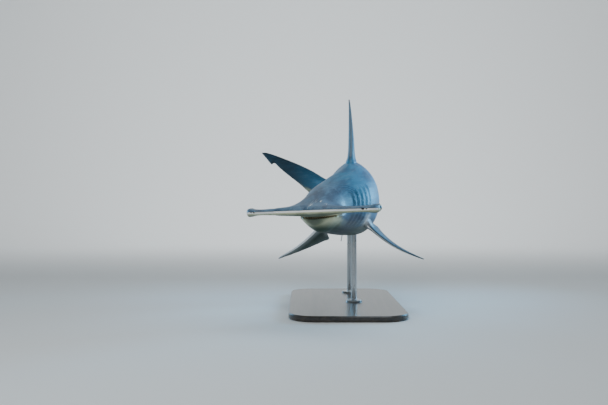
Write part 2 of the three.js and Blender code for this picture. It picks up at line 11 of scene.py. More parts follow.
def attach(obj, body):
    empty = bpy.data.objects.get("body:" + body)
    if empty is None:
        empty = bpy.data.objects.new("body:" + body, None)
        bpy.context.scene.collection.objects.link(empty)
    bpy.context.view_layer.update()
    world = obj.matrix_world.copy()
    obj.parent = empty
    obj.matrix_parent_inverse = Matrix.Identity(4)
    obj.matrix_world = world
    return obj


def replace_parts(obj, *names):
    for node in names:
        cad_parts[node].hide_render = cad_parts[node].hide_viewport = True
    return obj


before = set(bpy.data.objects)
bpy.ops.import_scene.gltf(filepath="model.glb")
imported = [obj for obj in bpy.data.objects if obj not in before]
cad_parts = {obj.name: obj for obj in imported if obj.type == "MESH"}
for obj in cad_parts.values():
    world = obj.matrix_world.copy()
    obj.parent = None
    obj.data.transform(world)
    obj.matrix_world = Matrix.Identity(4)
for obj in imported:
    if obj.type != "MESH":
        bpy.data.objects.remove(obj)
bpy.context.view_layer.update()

# The animal's named sizes
TL = 2.4  # snout to tail tip along the spine
HEAD_YAW = math.radians(19)
BANK = math.radians(2.1)
HEAD_HEIGHT = 0.505
HEAD_PLACE = (-0.215, -0.750)
HEAD_END = 0.125 * TL
GILLS_END = 0.247 * TL
STALK_END = 0.715 * TL
HAMMER_HALF = 0.126 * TL
NECK_HALF = 0.0425 * TL
BACK_PEAK = 0.35
EYE_RADIUS = 0.017
EYE_AT = (HAMMER_HALF - 0.0135, 0.0615 * TL, 0.002)
LID_RING = 0.0145
LID_THICK = 0.0034
NOSTRIL_ACROSS = 0.104 * TL
JAW_BACK, JAW_UP = 0.12 * TL, -0.012 * TL
JAW_LONG, JAW_HALF, JAW_DEEP = 0.059 * TL, 0.0425 * TL, 0.031 * TL
JAW_TAPER = 0.75  # how much the jaw narrows towards the chin
PALATE = -0.0118 * TL
MOUTH_CORNER = 0.1 * TL
MOUTH_OPEN = math.radians(6)
FIRST_GILL = 0.163 * TL
GILL_STEP = 0.0155 * TL
GILL_LEAN = 0.22
GILL_SLITS = 5
GILL_FLAP, GILL_RAMP = 0.004, 0.02  # a flap's free edge stands off the flank, and the ramp leads up to it
GILL_GROOVE = 0.0032
FOLD_PITCH, FOLD_DEPTH = 0.0165, 0.001  # the loose skin over the gills
MUSCLE_PITCH, MUSCLE_SWELL = 0.055, 0.0005  # the bands of muscle along the trunk
NOSTRIL_RADII = (0.015, 0.009, 0.0036)
FLAP_RADII = (0.0042, 0.006, 0.0052)
UPPER_TEETH = 24
LOWER_TEETH = 22
TOOTH_TALL, TOOTH_HALF, TOOTH_ROOT = 0.0085, 0.0031, 0.003
LEAST_GAPE = 0.0025  # where the lips are closer than this there are no teeth
GAZE_FORWARD = math.radians(17)
SKIN_GRID = 0.0025  # the fused skin is remeshed on this grid
MOST_FACES = 192000
MOUTH_INSET = 0.014  # how thick the lips are round the hollow of the mouth
FIN_SUNK = -0.1  # how far a fin's root reaches into the body, as a share of its span

np.random.seed(7)


def deselected():
    if bpy.context.object and bpy.context.object.mode != "OBJECT":
        bpy.ops.object.mode_set(mode="OBJECT")
    bpy.ops.object.select_all(action="DESELECT")


def active(piece):
    deselected()
    piece.select_set(True)
    bpy.context.view_layer.objects.active = piece
    return piece


def modified(piece, kind, **settings):
    """A modifier added with its settings and applied."""
    active(piece)
    modifier = piece.modifiers.new(kind.lower(), kind)
    for name, value in settings.items():
        setattr(modifier, name, value)
    bpy.ops.object.modifier_apply(modifier=modifier.name)
    return piece


def points_of(piece):
    flat = np.empty(len(piece.data.vertices) * 3, dtype=np.float32)
    piece.data.vertices.foreach_get("co", flat)
    return flat.reshape(-1, 3).astype(float)


def move_points(piece, points):
    piece.data.vertices.foreach_set("co", np.asarray(points, dtype=np.float32).ravel())
    piece.data.update()


def normals_of(piece):
    flat = np.empty(len(piece.data.vertices) * 3, dtype=np.float32)
    piece.data.vertices.foreach_get("normal", flat)
    return flat.reshape(-1, 3).astype(float)


def picked(piece, kind, chosen):
    """Edit mode, with only the chosen edges or polygons of a piece selected."""
    active(piece)
    for parts in (piece.data.vertices, piece.data.edges, piece.data.polygons):
        parts.foreach_set("select", np.zeros(len(parts), dtype=bool))
    getattr(piece.data, kind).foreach_set("select", chosen)
    bpy.context.tool_settings.mesh_select_mode = (False, kind == "edges", kind == "polygons")
    bpy.ops.object.mode_set(mode="EDIT")


def faces_outwards(merge=None):
    """Merges the active piece's doubles where a distance is given, and turns its faces outwards."""
    bpy.ops.object.mode_set(mode="EDIT")
    bpy.ops.mesh.select_all(action="SELECT")
    if merge:
        bpy.ops.mesh.remove_doubles(threshold=merge)
    bpy.ops.mesh.normals_make_consistent(inside=False)
    bpy.ops.object.mode_set(mode="OBJECT")


# Smooth steps and curves, on arrays
def smooth(x, low, high):
    t = np.clip((np.asarray(x, dtype=float) - low) / (high - low), 0, 1)
    return t * t * (3 - 2 * t)


def bump(x, at, width):
    return np.exp(-(((x - at) / width) ** 2))


def graded(*stations):
    """A smooth value along a row of (place, value) stations."""
    xs = np.array([s[0] for s in stations], dtype=float)
    ys = np.array([s[1] for s in stations], dtype=float)
    slopes = np.empty_like(ys)
    slopes[1:-1] = (ys[2:] - ys[:-2]) / (xs[2:] - xs[:-2])
    slopes[0] = (ys[1] - ys[0]) / (xs[1] - xs[0])
    slopes[-1] = (ys[-1] - ys[-2]) / (xs[-1] - xs[-2])

    def value(place):
        x = np.clip(np.asarray(place, dtype=float), xs[0], xs[-1])
        k = np.clip(np.searchsorted(xs, x, side="right") - 1, 0, len(xs) - 2)
        h = xs[k + 1] - xs[k]
        t = (x - xs[k]) / h
        back = 1 - t
        return (
            ys[k] * (1 + 2 * t) * back**2
            + slopes[k] * h * t * back**2
            + ys[k + 1] * t**2 * (3 - 2 * t)
            - slopes[k + 1] * h * t**2 * back
        )

    return value


def profile(*stations):
    """The same, with stations given as shares of the total length."""
    return graded(*[(at * TL, value * TL) for at, value in stations])


# The spine, in plan
TURNS = (
    (0.125, 0), (0.165, 8), (0.225, 6.5), (0.3, -10), (0.36, -20), (0.44, -18), (0.54, -18), (0.64, -32),
    (0.74, -57), (0.86, -70),
)
heading = graded(*[(at * TL, math.radians(turn)) for at, turn in TURNS])
SPINE_STEP = 0.006
spine_back = np.arange(0, 1.1 * TL, SPINE_STEP)
_mid = spine_back[:-1] + SPINE_STEP / 2
spine_x = np.concatenate([[0], np.cumsum(SPINE_STEP * np.sin(heading(_mid)))])
spine_y = np.concatenate([[0], np.cumsum(SPINE_STEP * np.cos(heading(_mid)))])

_yaw = Matrix.Rotation(-HEAD_YAW, 4, "Z")
_bank = Matrix.Rotation(-BANK, 4, "Y")
POSE = Matrix.Translation((*HEAD_PLACE, HEAD_HEIGHT)) @ _yaw @ _bank
POSE_TURN = np.array(POSE.to_3x3())
POSE_MOVE = np.array(POSE.translation)


def to_world(points):
    return points @ POSE_TURN.T + POSE_MOVE


def to_shark(points):
    return (points - POSE_MOVE) @ POSE_TURN


def place(back, across, up):
    """Points in the shark's own frame, from their way back along the spine, across to the left, and up."""
    back, across, up = np.broadcast_arrays(
        np.asarray(back, dtype=float), np.asarray(across, dtype=float), np.asarray(up, dtype=float)
    )
    turn = heading(back)
    x = np.interp(back, spine_back, spine_x) + across * np.cos(turn)
    y = np.where(back < 0, back, np.interp(back, spine_back, spine_y) - across * np.sin(turn))
    return np.stack([x, y, up], axis=-1)


def straightened(points):
    """The inverse of place: way back, across and up of points in the shark's own frame."""
    back = points[:, 1].copy()
    across = points[:, 0].copy()
    behind = points[:, 1] > HEAD_END * 0.999
    p = points[behind][:, :2]
    line = np.stack([spine_x, spine_y], axis=1)
    nearest = np.empty(len(p), dtype=int)
    for k in range(0, len(p), 20000):
        part = p[k : k + 20000]
        nearest[k : k + 20000] = ((part[:, None, :] - line[None, :, :]) ** 2).sum(-1).argmin(1)
    turn = heading(spine_back[nearest])
    off = p - line[nearest]
    along = off[:, 0] * np.sin(turn) + off[:, 1] * np.cos(turn)
    side = off[:, 0] * np.cos(turn) - off[:, 1] * np.sin(turn)
    back[behind] = spine_back[nearest] + along
    across[behind] = side
    return back, across, points[:, 2]


# Body outline: way back, then ridge of the back, widest level, belly and half width
crown = profile(
    (0.125, 0.0465), (0.165, 0.059), (0.22, 0.078), (0.3, 0.101), (0.37, 0.106), (0.46, 0.099),
    (0.54, 0.0885), (0.62, 0.081), (0.68, 0.079), (0.715, 0.0795),
)
waist = profile(
    (0.125, 0.0), (0.165, 0.004), (0.22, 0.009), (0.3, 0.016), (0.38, 0.023), (0.46, 0.033), (0.54, 0.042),
    (0.62, 0.0505), (0.715, 0.0605),
)
keel = profile(
    (0.125, -0.0425), (0.165, -0.048), (0.22, -0.0525), (0.3, -0.0545), (0.38, -0.048), (0.46, -0.0265),
    (0.54, -0.002), (0.62, 0.023), (0.68, 0.0385), (0.715, 0.0445),
)
half = profile(
    (0.125, 0.0425), (0.165, 0.0505), (0.22, 0.057), (0.3, 0.0568), (0.38, 0.056), (0.46, 0.05),
    (0.54, 0.037), (0.62, 0.0255), (0.68, 0.0185), (0.715, 0.0155),
)


def rise_of(back, up):
    """Height on the trunk: -1 on the belly, 0 at its widest level and 1 on the back."""
    lift = up - waist(back)
    return lift / np.where(lift > 0, crown(back) - waist(back), waist(back) - keel(back))


def body_at(back, angle):
    rise = np.cos(angle)
    side = np.sin(angle)
    tall = np.where(rise > 0, crown(back) - waist(back), waist(back) - keel(back))
    peaked = 1 + np.maximum(rise, 0) * BACK_PEAK * smooth(back, HEAD_END, GILLS_END)
    across = half(back) * np.sign(side) * np.abs(side) ** peaked
    return place(back, across, waist(back) + tall * rise)


# Upper lobe of the tail, which carries on from the stalk
LOBE_LENGTH = 0.288 * TL
LOBE_RISE = math.radians(25)
lobe_above = graded(
    (0, 0.0185), (0.1, 0.0195), (0.3, 0.021), (0.5, 0.019), (0.7, 0.015), (0.85, 0.011), (0.94, 0.007),
    (1, 0.0012),
)
lobe_below = graded(
    (0, 0.0165), (0.1, 0.026), (0.2, 0.038), (0.28, 0.039), (0.4, 0.032), (0.55, 0.0255), (0.7, 0.0175),
    (0.785, 0.011), (0.8, 0.0105), (0.825, 0.0185), (0.9, 0.0115), (1, 0.0012),
)
lobe_thick = graded((0, 0.0155), (0.1, 0.0105), (0.25, 0.0068), (0.5, 0.0044), (0.8, 0.0026), (1, 0.0008))


def lobe_tilt(q):
    return LOBE_RISE * smooth(q, -0.12, 0.2)


_lobe_q = np.linspace(0, 1, 201)
_lobe_mid = (_lobe_q[1:] + _lobe_q[:-1]) / 2
_lobe_step = LOBE_LENGTH / 200
lobe_x = STALK_END + np.concatenate([[0], np.cumsum(_lobe_step * np.cos(lobe_tilt(_lobe_mid)))])
lobe_z = waist(STALK_END) + np.concatenate([[0], np.cumsum(_lobe_step * np.sin(lobe_tilt(_lobe_mid)))])


def lobe_at(q, angle):
    tilt = lobe_tilt(q) * smooth(q, -0.001, 0.08)
    blade = smooth(q, 0, 0.25)
    rise = np.cos(angle)
    side = np.sin(angle)
    reach = np.where(rise > 0, lobe_above(q), lobe_below(q)) * TL * rise
    sharp = np.where(rise < 0, 1 + 0.7 * blade, 1)
    least = 0.0019 * smooth(q, 0.1, 0.3) * (1 - np.abs(rise) ** 16) ** 0.5
    wide = np.maximum(lobe_thick(q) * TL * np.abs(side) ** sharp, least) * np.sign(side)
    back = np.interp(q, _lobe_q, lobe_x) - reach * np.sin(tilt)
    up = np.interp(q, _lobe_q, lobe_z) + reach * np.cos(tilt)
    return place(back, wide, up)


# Hammer in plan, and the height of its skin above (1) or below (-1) its own plane
END_CURVE_FROM = HAMMER_HALF - 0.0165 * TL


def end_curve(across):
    t = np.clip((np.abs(across) - END_CURVE_FROM) / (HAMMER_HALF - END_CURVE_FROM), 0, 1)
    return 1 - np.sqrt(1 - t * t)


def front_edge(across):
    x = np.abs(across) / TL
    arch = 0.034 * (x / 0.128) ** 2.1
    scallops = 0.006 * bump(x, 0, 0.011) + 0.0042 * bump(x, 0.061, 0.011) + 0.0036 * bump(x, 0.104, 0.0055)
    return (arch + scallops + 0.0225 * end_curve(across)) * TL


def rear_edge(across):
    x = np.abs(across) / TL
    fillet = 0.042 * np.exp(-(x - NECK_HALF / TL) / 0.0105)
    sweep = 0.083 - 0.003 * bump(x, 0.1, 0.02)
    return np.where(x * TL <= NECK_HALF, HEAD_END, (sweep + fillet - 0.0175 * end_curve(across)) * TL)


wing_thick = profile(
    (0, 0.0085), (0.045, 0.0078), (0.068, 0.0062), (0.09, 0.0055), (0.106, 0.0062), (0.119, 0.0082),
    (0.128, 0.0072),
)
dome_above = profile((0, 0.003), (0.03, 0.013), (0.06, 0.0245), (0.09, 0.0355), (0.125, 0.047))
dome_below = profile(
    (0, 0.005), (0.03, 0.008), (0.055, 0.0094), (0.08, 0.0155), (0.1, 0.027), (0.125, 0.0425),
)
dome_half = profile((0, 0.062), (0.03, 0.056), (0.06, 0.047), (0.09, 0.0415), (0.125, 0.0425))
dome_fall = graded((0, 1.7), (0.06 * TL, 1.3), (0.09 * TL, 0.85), (0.125 * TL, 0.5))


def head_height(back, across, side):
    from_front = back - front_edge(across)
    from_rear = rear_edge(across) - back
    nose = np.sqrt(1 - (1 - np.clip(from_front / (0.013 * TL), 0, 1)) ** 2)
    in_neck = 1 - smooth(np.abs(across), 0.85 * NECK_HALF, 1.1 * NECK_HALF)
    heel = np.maximum(1 - (1 - np.clip(from_rear / (0.03 * TL), 0, 1)) ** 1.7, 0.06 * (1 - in_neck))
    wing = wing_thick(np.abs(across)) * nose * (0.88 if side > 0 else 1.05) * heel
    share = np.clip(1 - (across / dome_half(back)) ** 2, 0, 1)
    dome = (dome_above(back) if side > 0 else dome_below(back)) * nose * share ** dome_fall(back)
    return side * np.cbrt(wing**3 + dome**3)


def head_at(row, turn):
    """Row from the right end to the left; turn runs over the top from rear to front, and back below."""
    across = -0.998 * HAMMER_HALF * np.cos(math.pi * row)
    chord = np.where(turn < 0.5, 2 * turn, 2 - 2 * turn)
    start, end = rear_edge(across), front_edge(across)
    back = start + (end - start) * (1 - np.cos(math.pi * chord)) / 2
    top = head_height(back, across, 1)
    under = head_height(back, across, -1)
    return np.stack([across, back, np.where(turn < 0.5, top, under)], axis=-1)


# Fins
def fin_at(fin, stand):
    lead, trail = graded(*fin["lead"]), graded(*fin["trail"])

    def at(row, turn):
        t = FIN_SUNK + (1 - FIN_SUNK) * row
        span = t * fin["span"]
        start = lead(t) * TL
        chord = trail(t) * TL - start
        flare = fin["flare"] * np.exp(-np.maximum(span, 0) / fin["flare_height"])
        thick = fin["root_thick"] + (fin["tip_thick"] - fin["root_thick"]) * np.clip(t, 0, 1) + flare
        angle = 2 * math.pi * turn
        along = (1 - np.cos(angle)) / 2
        bulge = np.abs(np.sin(angle)) * (1 - 0.72 * along) * 0.66 * thick
        least = 0.0021 * (1 - np.abs(2 * along - 1) ** 24) ** 0.5
        return stand(start + chord * along, np.maximum(bulge, least) * np.sign(np.sin(angle)), span)

    return at


FIRST_DORSAL = dict(
    back=0.278 * TL,
    span=0.143 * TL,
    lead=((0, 0), (0.2, 0.026), (0.4, 0.049), (0.6, 0.069), (0.8, 0.086), (0.93, 0.1), (1, 0.1125)),
    trail=(
        (0, 0.094), (0.05, 0.122), (0.1, 0.118), (0.2, 0.107), (0.35, 0.1), (0.55, 0.098), (0.8, 0.104),
        (0.95, 0.1145), (1, 0.1175),
    ),
    root_thick=0.042, tip_thick=0.007, flare=0.016, flare_height=0.016,
    lean=0.03,
)
SECOND_DORSAL = dict(
    back=0.652 * TL,
    span=0.0215 * TL,
    lead=((0, 0), (0.5, 0.016), (0.85, 0.026), (1, 0.033)),
    trail=((0, 0.031), (0.12, 0.066), (0.25, 0.057), (0.5, 0.043), (0.8, 0.037), (1, 0.0365)),
    root_thick=0.011, tip_thick=0.005, flare=0.008, flare_height=0.009,
)
ANAL_FIN = dict(
    back=0.635 * TL,
    span=0.042 * TL,
    lead=((0, 0), (0.4, 0.017), (0.8, 0.033), (1, 0.046)),
    trail=((0, 0.05), (0.12, 0.077), (0.28, 0.06), (0.5, 0.048), (0.75, 0.046), (1, 0.0495)),
    root_thick=0.012, tip_thick=0.005, flare=0.008, flare_height=0.009,
)
LOWER_LOBE = dict(
    back=STALK_END + 0.004 * TL,
    up=0.0565 * TL,
    span=0.122 * TL,
    lead=((0, 0), (0.3, 0.014), (0.6, 0.032), (0.85, 0.05), (1, 0.065)),
    trail=((0, 0.086), (0.15, 0.08), (0.35, 0.073), (0.6, 0.068), (0.85, 0.0675), (1, 0.069)),
    root_thick=0.02, tip_thick=0.005, flare=0.004, flare_height=0.02,
)
PECTORAL = dict(
    back=0.222 * TL,
    inside=0.043 * TL,
    level=-0.024 * TL,
    bow=0.022,
    span=0.14 * TL,
    lead=((0, 0), (0.2, 0.01), (0.4, 0.024), (0.6, 0.04), (0.8, 0.059), (0.93, 0.073), (1, 0.084)),
    trail=(
        (0, 0.062), (0.1, 0.067), (0.16, 0.111), (0.24, 0.103), (0.4, 0.09), (0.6, 0.082), (0.85, 0.083),
        (1, 0.087),
    ),
    root_thick=0.035, tip_thick=0.006, flare=0.02, flare_height=0.036,
)
PELVIC = dict(
    back=0.478 * TL,
    inside=0.012 * TL,
    level=-0.017 * TL,
    bow=0.002,
    span=0.062 * TL,
    lead=((0, 0), (0.4, 0.012), (0.8, 0.027), (1, 0.038)),
    trail=((0, 0.05), (0.2, 0.055), (0.34, 0.072), (0.5, 0.062), (0.75, 0.05), (1, 0.042)),
    root_thick=0.014, tip_thick=0.005, flare=0.006, flare_height=0.012,
)


def upright(fin, level, way):
    """A fin in the body's middle plane stands on a level: way 1 rises from it, and -1 hangs from it."""
    lean = fin.get("lean", 0)

    def stand(chord, off, span):
        back = fin["back"] + chord
        return place(back, off + lean * span, level(back) + way * span)

    def seat(local, lie):
        span = way * (lie[2] - level(lie[0]))
        return lie[0] - fin["back"], lie[1] - lean * span, span

    return fin, stand, seat


def from_flank(fin, side, droop, pitch, forward=0):
    """Paired fins are stiff: side 1 on the left and -1 on the right. They droop by so many degrees, their
    leading edge is pitched up by so many, and they reach forward by so many."""
    droop, pitch, forward = math.radians(droop), math.radians(pitch), math.radians(forward)
    root = place(fin["back"], side * fin["inside"], fin["level"])
    turn = float(heading(fin["back"] + 0.03 * TL)) + side * forward
    rearward = Vector((math.sin(turn), math.cos(turn), 0))
    reach = Vector((side * math.cos(turn), -side * math.sin(turn), 0)) * math.cos(droop)
    reach.z -= math.sin(droop)
    chordwise = Matrix.Rotation(side * -pitch, 3, reach) @ rearward
    through = chordwise.cross(reach) * side
    chordwise, reach, through = np.array(chordwise), np.array(reach), np.array(through)

    def bow(span):
        return fin["bow"] * np.sin(math.pi * np.clip(span / fin["span"], 0, 1))

    def stand(chord, off, span):
        chord, off, span = np.broadcast_arrays(chord, off, span)
        below = side * off + bow(span)
        return root + chord[..., None] * chordwise + span[..., None] * reach + below[..., None] * through

    def seat(local, lie):
        span = (local - root) @ reach
        return (local - root) @ chordwise, (local - root) @ through - bow(span), span

    return fin, stand, seat


FINS = {
    "first_dorsal": upright(FIRST_DORSAL, crown, 1),
    "second_dorsal": upright(SECOND_DORSAL, crown, 1),
    "anal": upright(ANAL_FIN, keel, -1),
    "lower_lobe": upright(LOWER_LOBE, lambda back: LOWER_LOBE["up"], -1),
    "pectoral_left": from_flank(PECTORAL, 1, 37, 1, -7),
    "pectoral_right": from_flank(PECTORAL, -1, 25, 15, 10),
    "pelvic_left": from_flank(PELVIC, 1, 39, 2),
    "pelvic_right": from_flank(PELVIC, -1, 80, 2),
}
PAIRED = ("pectoral_left", "pectoral_right", "pelvic_left", "pelvic_right")


def on_fin(name, local, lie):
    """Where points lie on a fin: span share, metres behind its leading and before its trailing edge, and
    how far they lie to its left, or to its underside on a paired fin. The last says which are on it."""
    fin, _, seat = FINS[name]
    chord, off, span = seat(local, lie)
    share = span / fin["span"]
    behind = chord - graded(*fin["lead"])(share) * TL
    before = graded(*fin["trail"])(share) * TL - chord
    on = (share > -0.02) & (share < 1.05) & (behind > -0.008) & (before > -0.008) & (np.abs(off) < 0.032)
    return share, behind, before, off, on


# Making the skin
def wrapped_sheet(name, rows, sides, at):
    """A flat sheet wrapped round into a closed form, its first and last rows drawn together. The function at
    gives its points in the shark's frame, from their shares of the rows and of the turn."""
    deselected()
    bpy.ops.mesh.primitive_grid_add(x_subdivisions=sides, y_subdivisions=rows + 2, size=2)
    piece = bpy.context.object
    piece.name = name
    flat = points_of(piece)
    turn = (flat[:, 0] + 1) / 2
    line = np.rint((flat[:, 1] + 1) / 2 * (rows + 2)).astype(int)
    row = np.clip((line - 1) / rows, 0, 1)
    points = at(row, np.where(turn > 0.9999, 0, turn))
    for end, ring in ((0, 1), (rows + 2, rows + 1)):
        points[line == end] = points[line == ring].mean(axis=0)
    move_points(piece, to_world(points))
    faces_outwards(merge=0.00002)
    return piece


def ellipsoid(name, centre, radii, segments=64, rings=40, between=(-1.0, 1.0)):
    """A ball shaped to three radii in the shark's frame, flattened where it leaves the given levels."""
    deselected()
    bpy.ops.mesh.primitive_uv_sphere_add(segments=segments, ring_count=rings, radius=1)
    piece = bpy.context.object
    piece.name = name
    points = points_of(piece) * np.array(radii) + np.array(centre)
    points[:, 2] = np.clip(points[:, 2], *between)
    move_points(piece, to_world(points))
    return piece


def cut_away(piece, cutter):
    modified(piece, "BOOLEAN", object=cutter, operation="DIFFERENCE", solver="EXACT")
    bpy.data.objects.remove(cutter, do_unlink=True)


def joined(pieces, name):
    deselected()
    for piece in pieces:
        piece.select_set(True)
    bpy.context.view_layer.objects.active = pieces[0]
    bpy.ops.object.join()
    made = bpy.context.object
    made.name = name
    return made


def lip_level(back):
    """The lower lip's level: the jaw is dropped about the corners of the mouth."""
    return PALATE - np.maximum(MOUTH_CORNER - back, 0) * math.tan(MOUTH_OPEN)


def tapered(piece):
    """Narrows the jaw, or the scoop that makes room for it, towards the chin."""
    points = to_shark(points_of(piece))
    depth = np.clip((PALATE - points[:, 2]) / (PALATE - JAW_UP + JAW_DEEP), 0, 1)
    points[:, 0] /= 1 + JAW_TAPER * depth
    move_points(piece, to_world(points))
    return piece


def hammer():
    made = wrapped_sheet("hammer", 220, 112, head_at)
    scoop = ellipsoid("scoop", (0, JAW_BACK, JAW_UP), (JAW_HALF, JAW_LONG, JAW_DEEP), 72, 48, (-1, PALATE))
    cut_away(made, tapered(scoop))
    arch = (JAW_HALF - MOUTH_INSET, JAW_LONG - MOUTH_INSET, 0.02)
    cut_away(made, ellipsoid("palate_arch", (0, JAW_BACK - 0.002, PALATE - 0.002), arch, 48, 24))
    return made


def lower_jaw():
    grow = 0.001
    made = tapered(
        ellipsoid("jaw", (0, JAW_BACK, JAW_UP), (JAW_HALF + grow, JAW_LONG + grow, JAW_DEEP + grow), 96, 64)
    )
    points = to_shark(points_of(made))
    # behind the corners of the mouth it reaches into the head, so that no crack is left there
    joined_by = 0.003 * smooth(points[:, 1], MOUTH_CORNER + 0.006, MOUTH_CORNER + 0.02)
    points[:, 0] += np.sign(points[:, 0]) * joined_by
    points[:, 2] = np.minimum(points[:, 2], lip_level(points[:, 1]) + joined_by)
    move_points(made, to_world(points))
    floor = (JAW_HALF - MOUTH_INSET, JAW_LONG - MOUTH_INSET, 0.02)
    cut_away(made, ellipsoid("mouth_floor", (0, JAW_BACK, PALATE - 0.012), floor, 48, 24))
    return made


def lids(side):
    deselected()
    bpy.ops.mesh.primitive_torus_add(
        major_radius=LID_RING, minor_radius=LID_THICK, major_segments=48, minor_segments=16
    )
    piece = bpy.context.object
    points = points_of(piece)
    x, y, z = points.T
    centre = np.array([side * (EYE_AT[0] + 0.007), EYE_AT[1], EYE_AT[2]])
    move_points(piece, to_world(np.stack([z, y * 1.12, x], axis=1) + centre))
    return piece


def on_groove(wide):
    """Where the groove inside each nostril runs along the hammer's front, from 0 to 1."""
    return smooth(wide, 0.056 * TL, 0.062 * TL) * (1 - smooth(wide, 0.099 * TL, 0.103 * TL))


def nostril_centre(side):
    across = side * NOSTRIL_ACROSS
    return np.array([across, float(front_edge(across)) + 0.001, -0.0015])


def flap_centre(side):
    across = side * (NOSTRIL_ACROSS + 0.003)
    return np.array([across, float(front_edge(across)) + 0.005, -0.0045])


def body_and_lobe(row, turn):
    """Body and upper tail lobe as one sheet."""
    share = row * 1.28
    back = HEAD_END - 0.03 + np.minimum(share, 1) * (STALK_END - HEAD_END + 0.03)
    q = np.clip((share - 1) / 0.28, 0, 0.999)
    angle = 2 * math.pi * turn
    # inside the head the sheet draws in, so that only the neck's surface is left to show
    drawn = 0.8 + 0.2 * smooth(back, HEAD_END - 0.03, HEAD_END - 0.004)
    middle = place(back, 0, waist(back))
    on_body = middle + (body_at(back, angle) - middle) * drawn[:, None]
    return np.where((share > 1)[:, None], lobe_at(q, angle), on_body)


def gill_slits(back, up, rise):
    """How far the gill flaps stand off the flank, and how deep in a slit each point lies, from 0 to 1."""
    facing = smooth(rise, -0.78, -0.5) * (1 - smooth(rise, 0.38, 0.62))
    bowed = np.maximum(np.abs(rise + 0.1) - 0.2, 0) ** 2
    swept = back - GILL_LEAN * (up - waist(back)) + 0.055 * bowed
    height = np.zeros_like(back)
    depth = np.zeros_like(back)
    for k in range(GILL_SLITS):
        past = swept - (FIRST_GILL + k * GILL_STEP)
        flap = GILL_FLAP * np.clip(1 + past / GILL_RAMP, 0, 1) ** 2 * (1 - smooth(past, -0.0006, 0.0022))
        groove = GILL_GROOVE * smooth(past, 0.0, 0.0026) * (1 - smooth(past, 0.003, 0.012))
        height += (flap - groove) * facing
        depth = np.maximum(depth, facing * smooth(past, 0.0, 0.0012) * (1 - smooth(past, 0.002, 0.005)))
    return height, depth


def neck_folds(back, across, up):
    """Folds of loose skin that sweep over the gills and come down behind them, from 0 to 1 in a fold."""
    ahead, above = back - 0.156 * TL, up + 0.005
    away = np.hypot(ahead, above)
    turn = np.arctan2(above, ahead)
    where = smooth(turn, 0.1, 0.5) * (1 - smooth(turn, 1.5, 2.5))
    where = where * smooth(away, 0.055, 0.085) * (1 - smooth(away, 0.112, 0.125))
    where = where * np.where(across > 0, 1, 0.45)  # the head turns to the right and loosens the left side
    # they end where the slits begin
    over = smooth((up - waist(back)) / (crown(back) - waist(back)), 0.36, 0.6)
    where = where * (1 - (1 - over) * smooth(back, FIRST_GILL - 0.03, FIRST_GILL - 0.008))
    wander = 0.004 * np.sin(2.1 * turn + 0.4) + 0.0022 * np.sin(5.3 * turn + 45 * away) + 12 * away**3
    return where * np.maximum(np.cos(2 * math.pi * (away + wander) / FOLD_PITCH), 0) ** 2.2


def refined(piece, wanted):
    """Faces whose middles are wanted, told by the shark's own frame, are cut in four."""
    middles = np.empty(len(piece.data.polygons) * 3, dtype=np.float32)
    piece.data.polygons.foreach_get("center", middles)
    local = to_shark(middles.reshape(-1, 3).astype(float))
    picked(piece, "polygons", wanted(local))
    bpy.ops.mesh.subdivide(number_cuts=1)
    bpy.ops.object.mode_set(mode="OBJECT")


def needs_detail(local):
    """The gills, the mouth, the nostrils, the eyes and the hammer's front edge."""
    x, y, z = local.T
    wide = np.abs(x)
    gills = (y > 0.36) & (y < 0.61) & (z > -0.1) & (z < 0.125)
    mouth = (y > 0.11) & (y < 0.27) & (wide < 0.115) & (z < -0.01) & (z > -0.075)
    edge = (y - front_edge(x) < 0.014) & (y < 0.2)
    ends = wide > HAMMER_HALF - 0.04
    return gills | mouth | edge | (ends & (y < 0.2))


def ball_distance(local, centre, radii):
    return np.sqrt((((local - np.array(centre)) / np.array(radii)) ** 2).sum(axis=1))


def mouth_depth(local):
    """0 outside the mouth and on the lips, 1 inside it."""
    x, y, z = local.T
    lip = lip_level(y)
    widened = 1 + JAW_TAPER * np.clip((PALATE - z) / (PALATE - JAW_UP + JAW_DEEP), 0, 1)
    inset = np.hypot(x * widened / JAW_HALF, (y - JAW_BACK) / JAW_LONG)
    cavity = smooth(z, lip - 0.03, lip - 0.022) * (1 - smooth(z, PALATE + 0.019, PALATE + 0.022))
    cavity = cavity * (1 - smooth(inset, 0.8, 0.88))
    gap = smooth(z, lip - 0.004, lip - 0.0015) * (1 - smooth(z, PALATE + 0.0015, PALATE + 0.004))
    gap = gap * (1 - smooth(inset, 0.93, 0.98))
    return np.maximum(cavity, gap * (1 - smooth(y, MOUTH_CORNER - 0.024, MOUTH_CORNER - 0.004)))


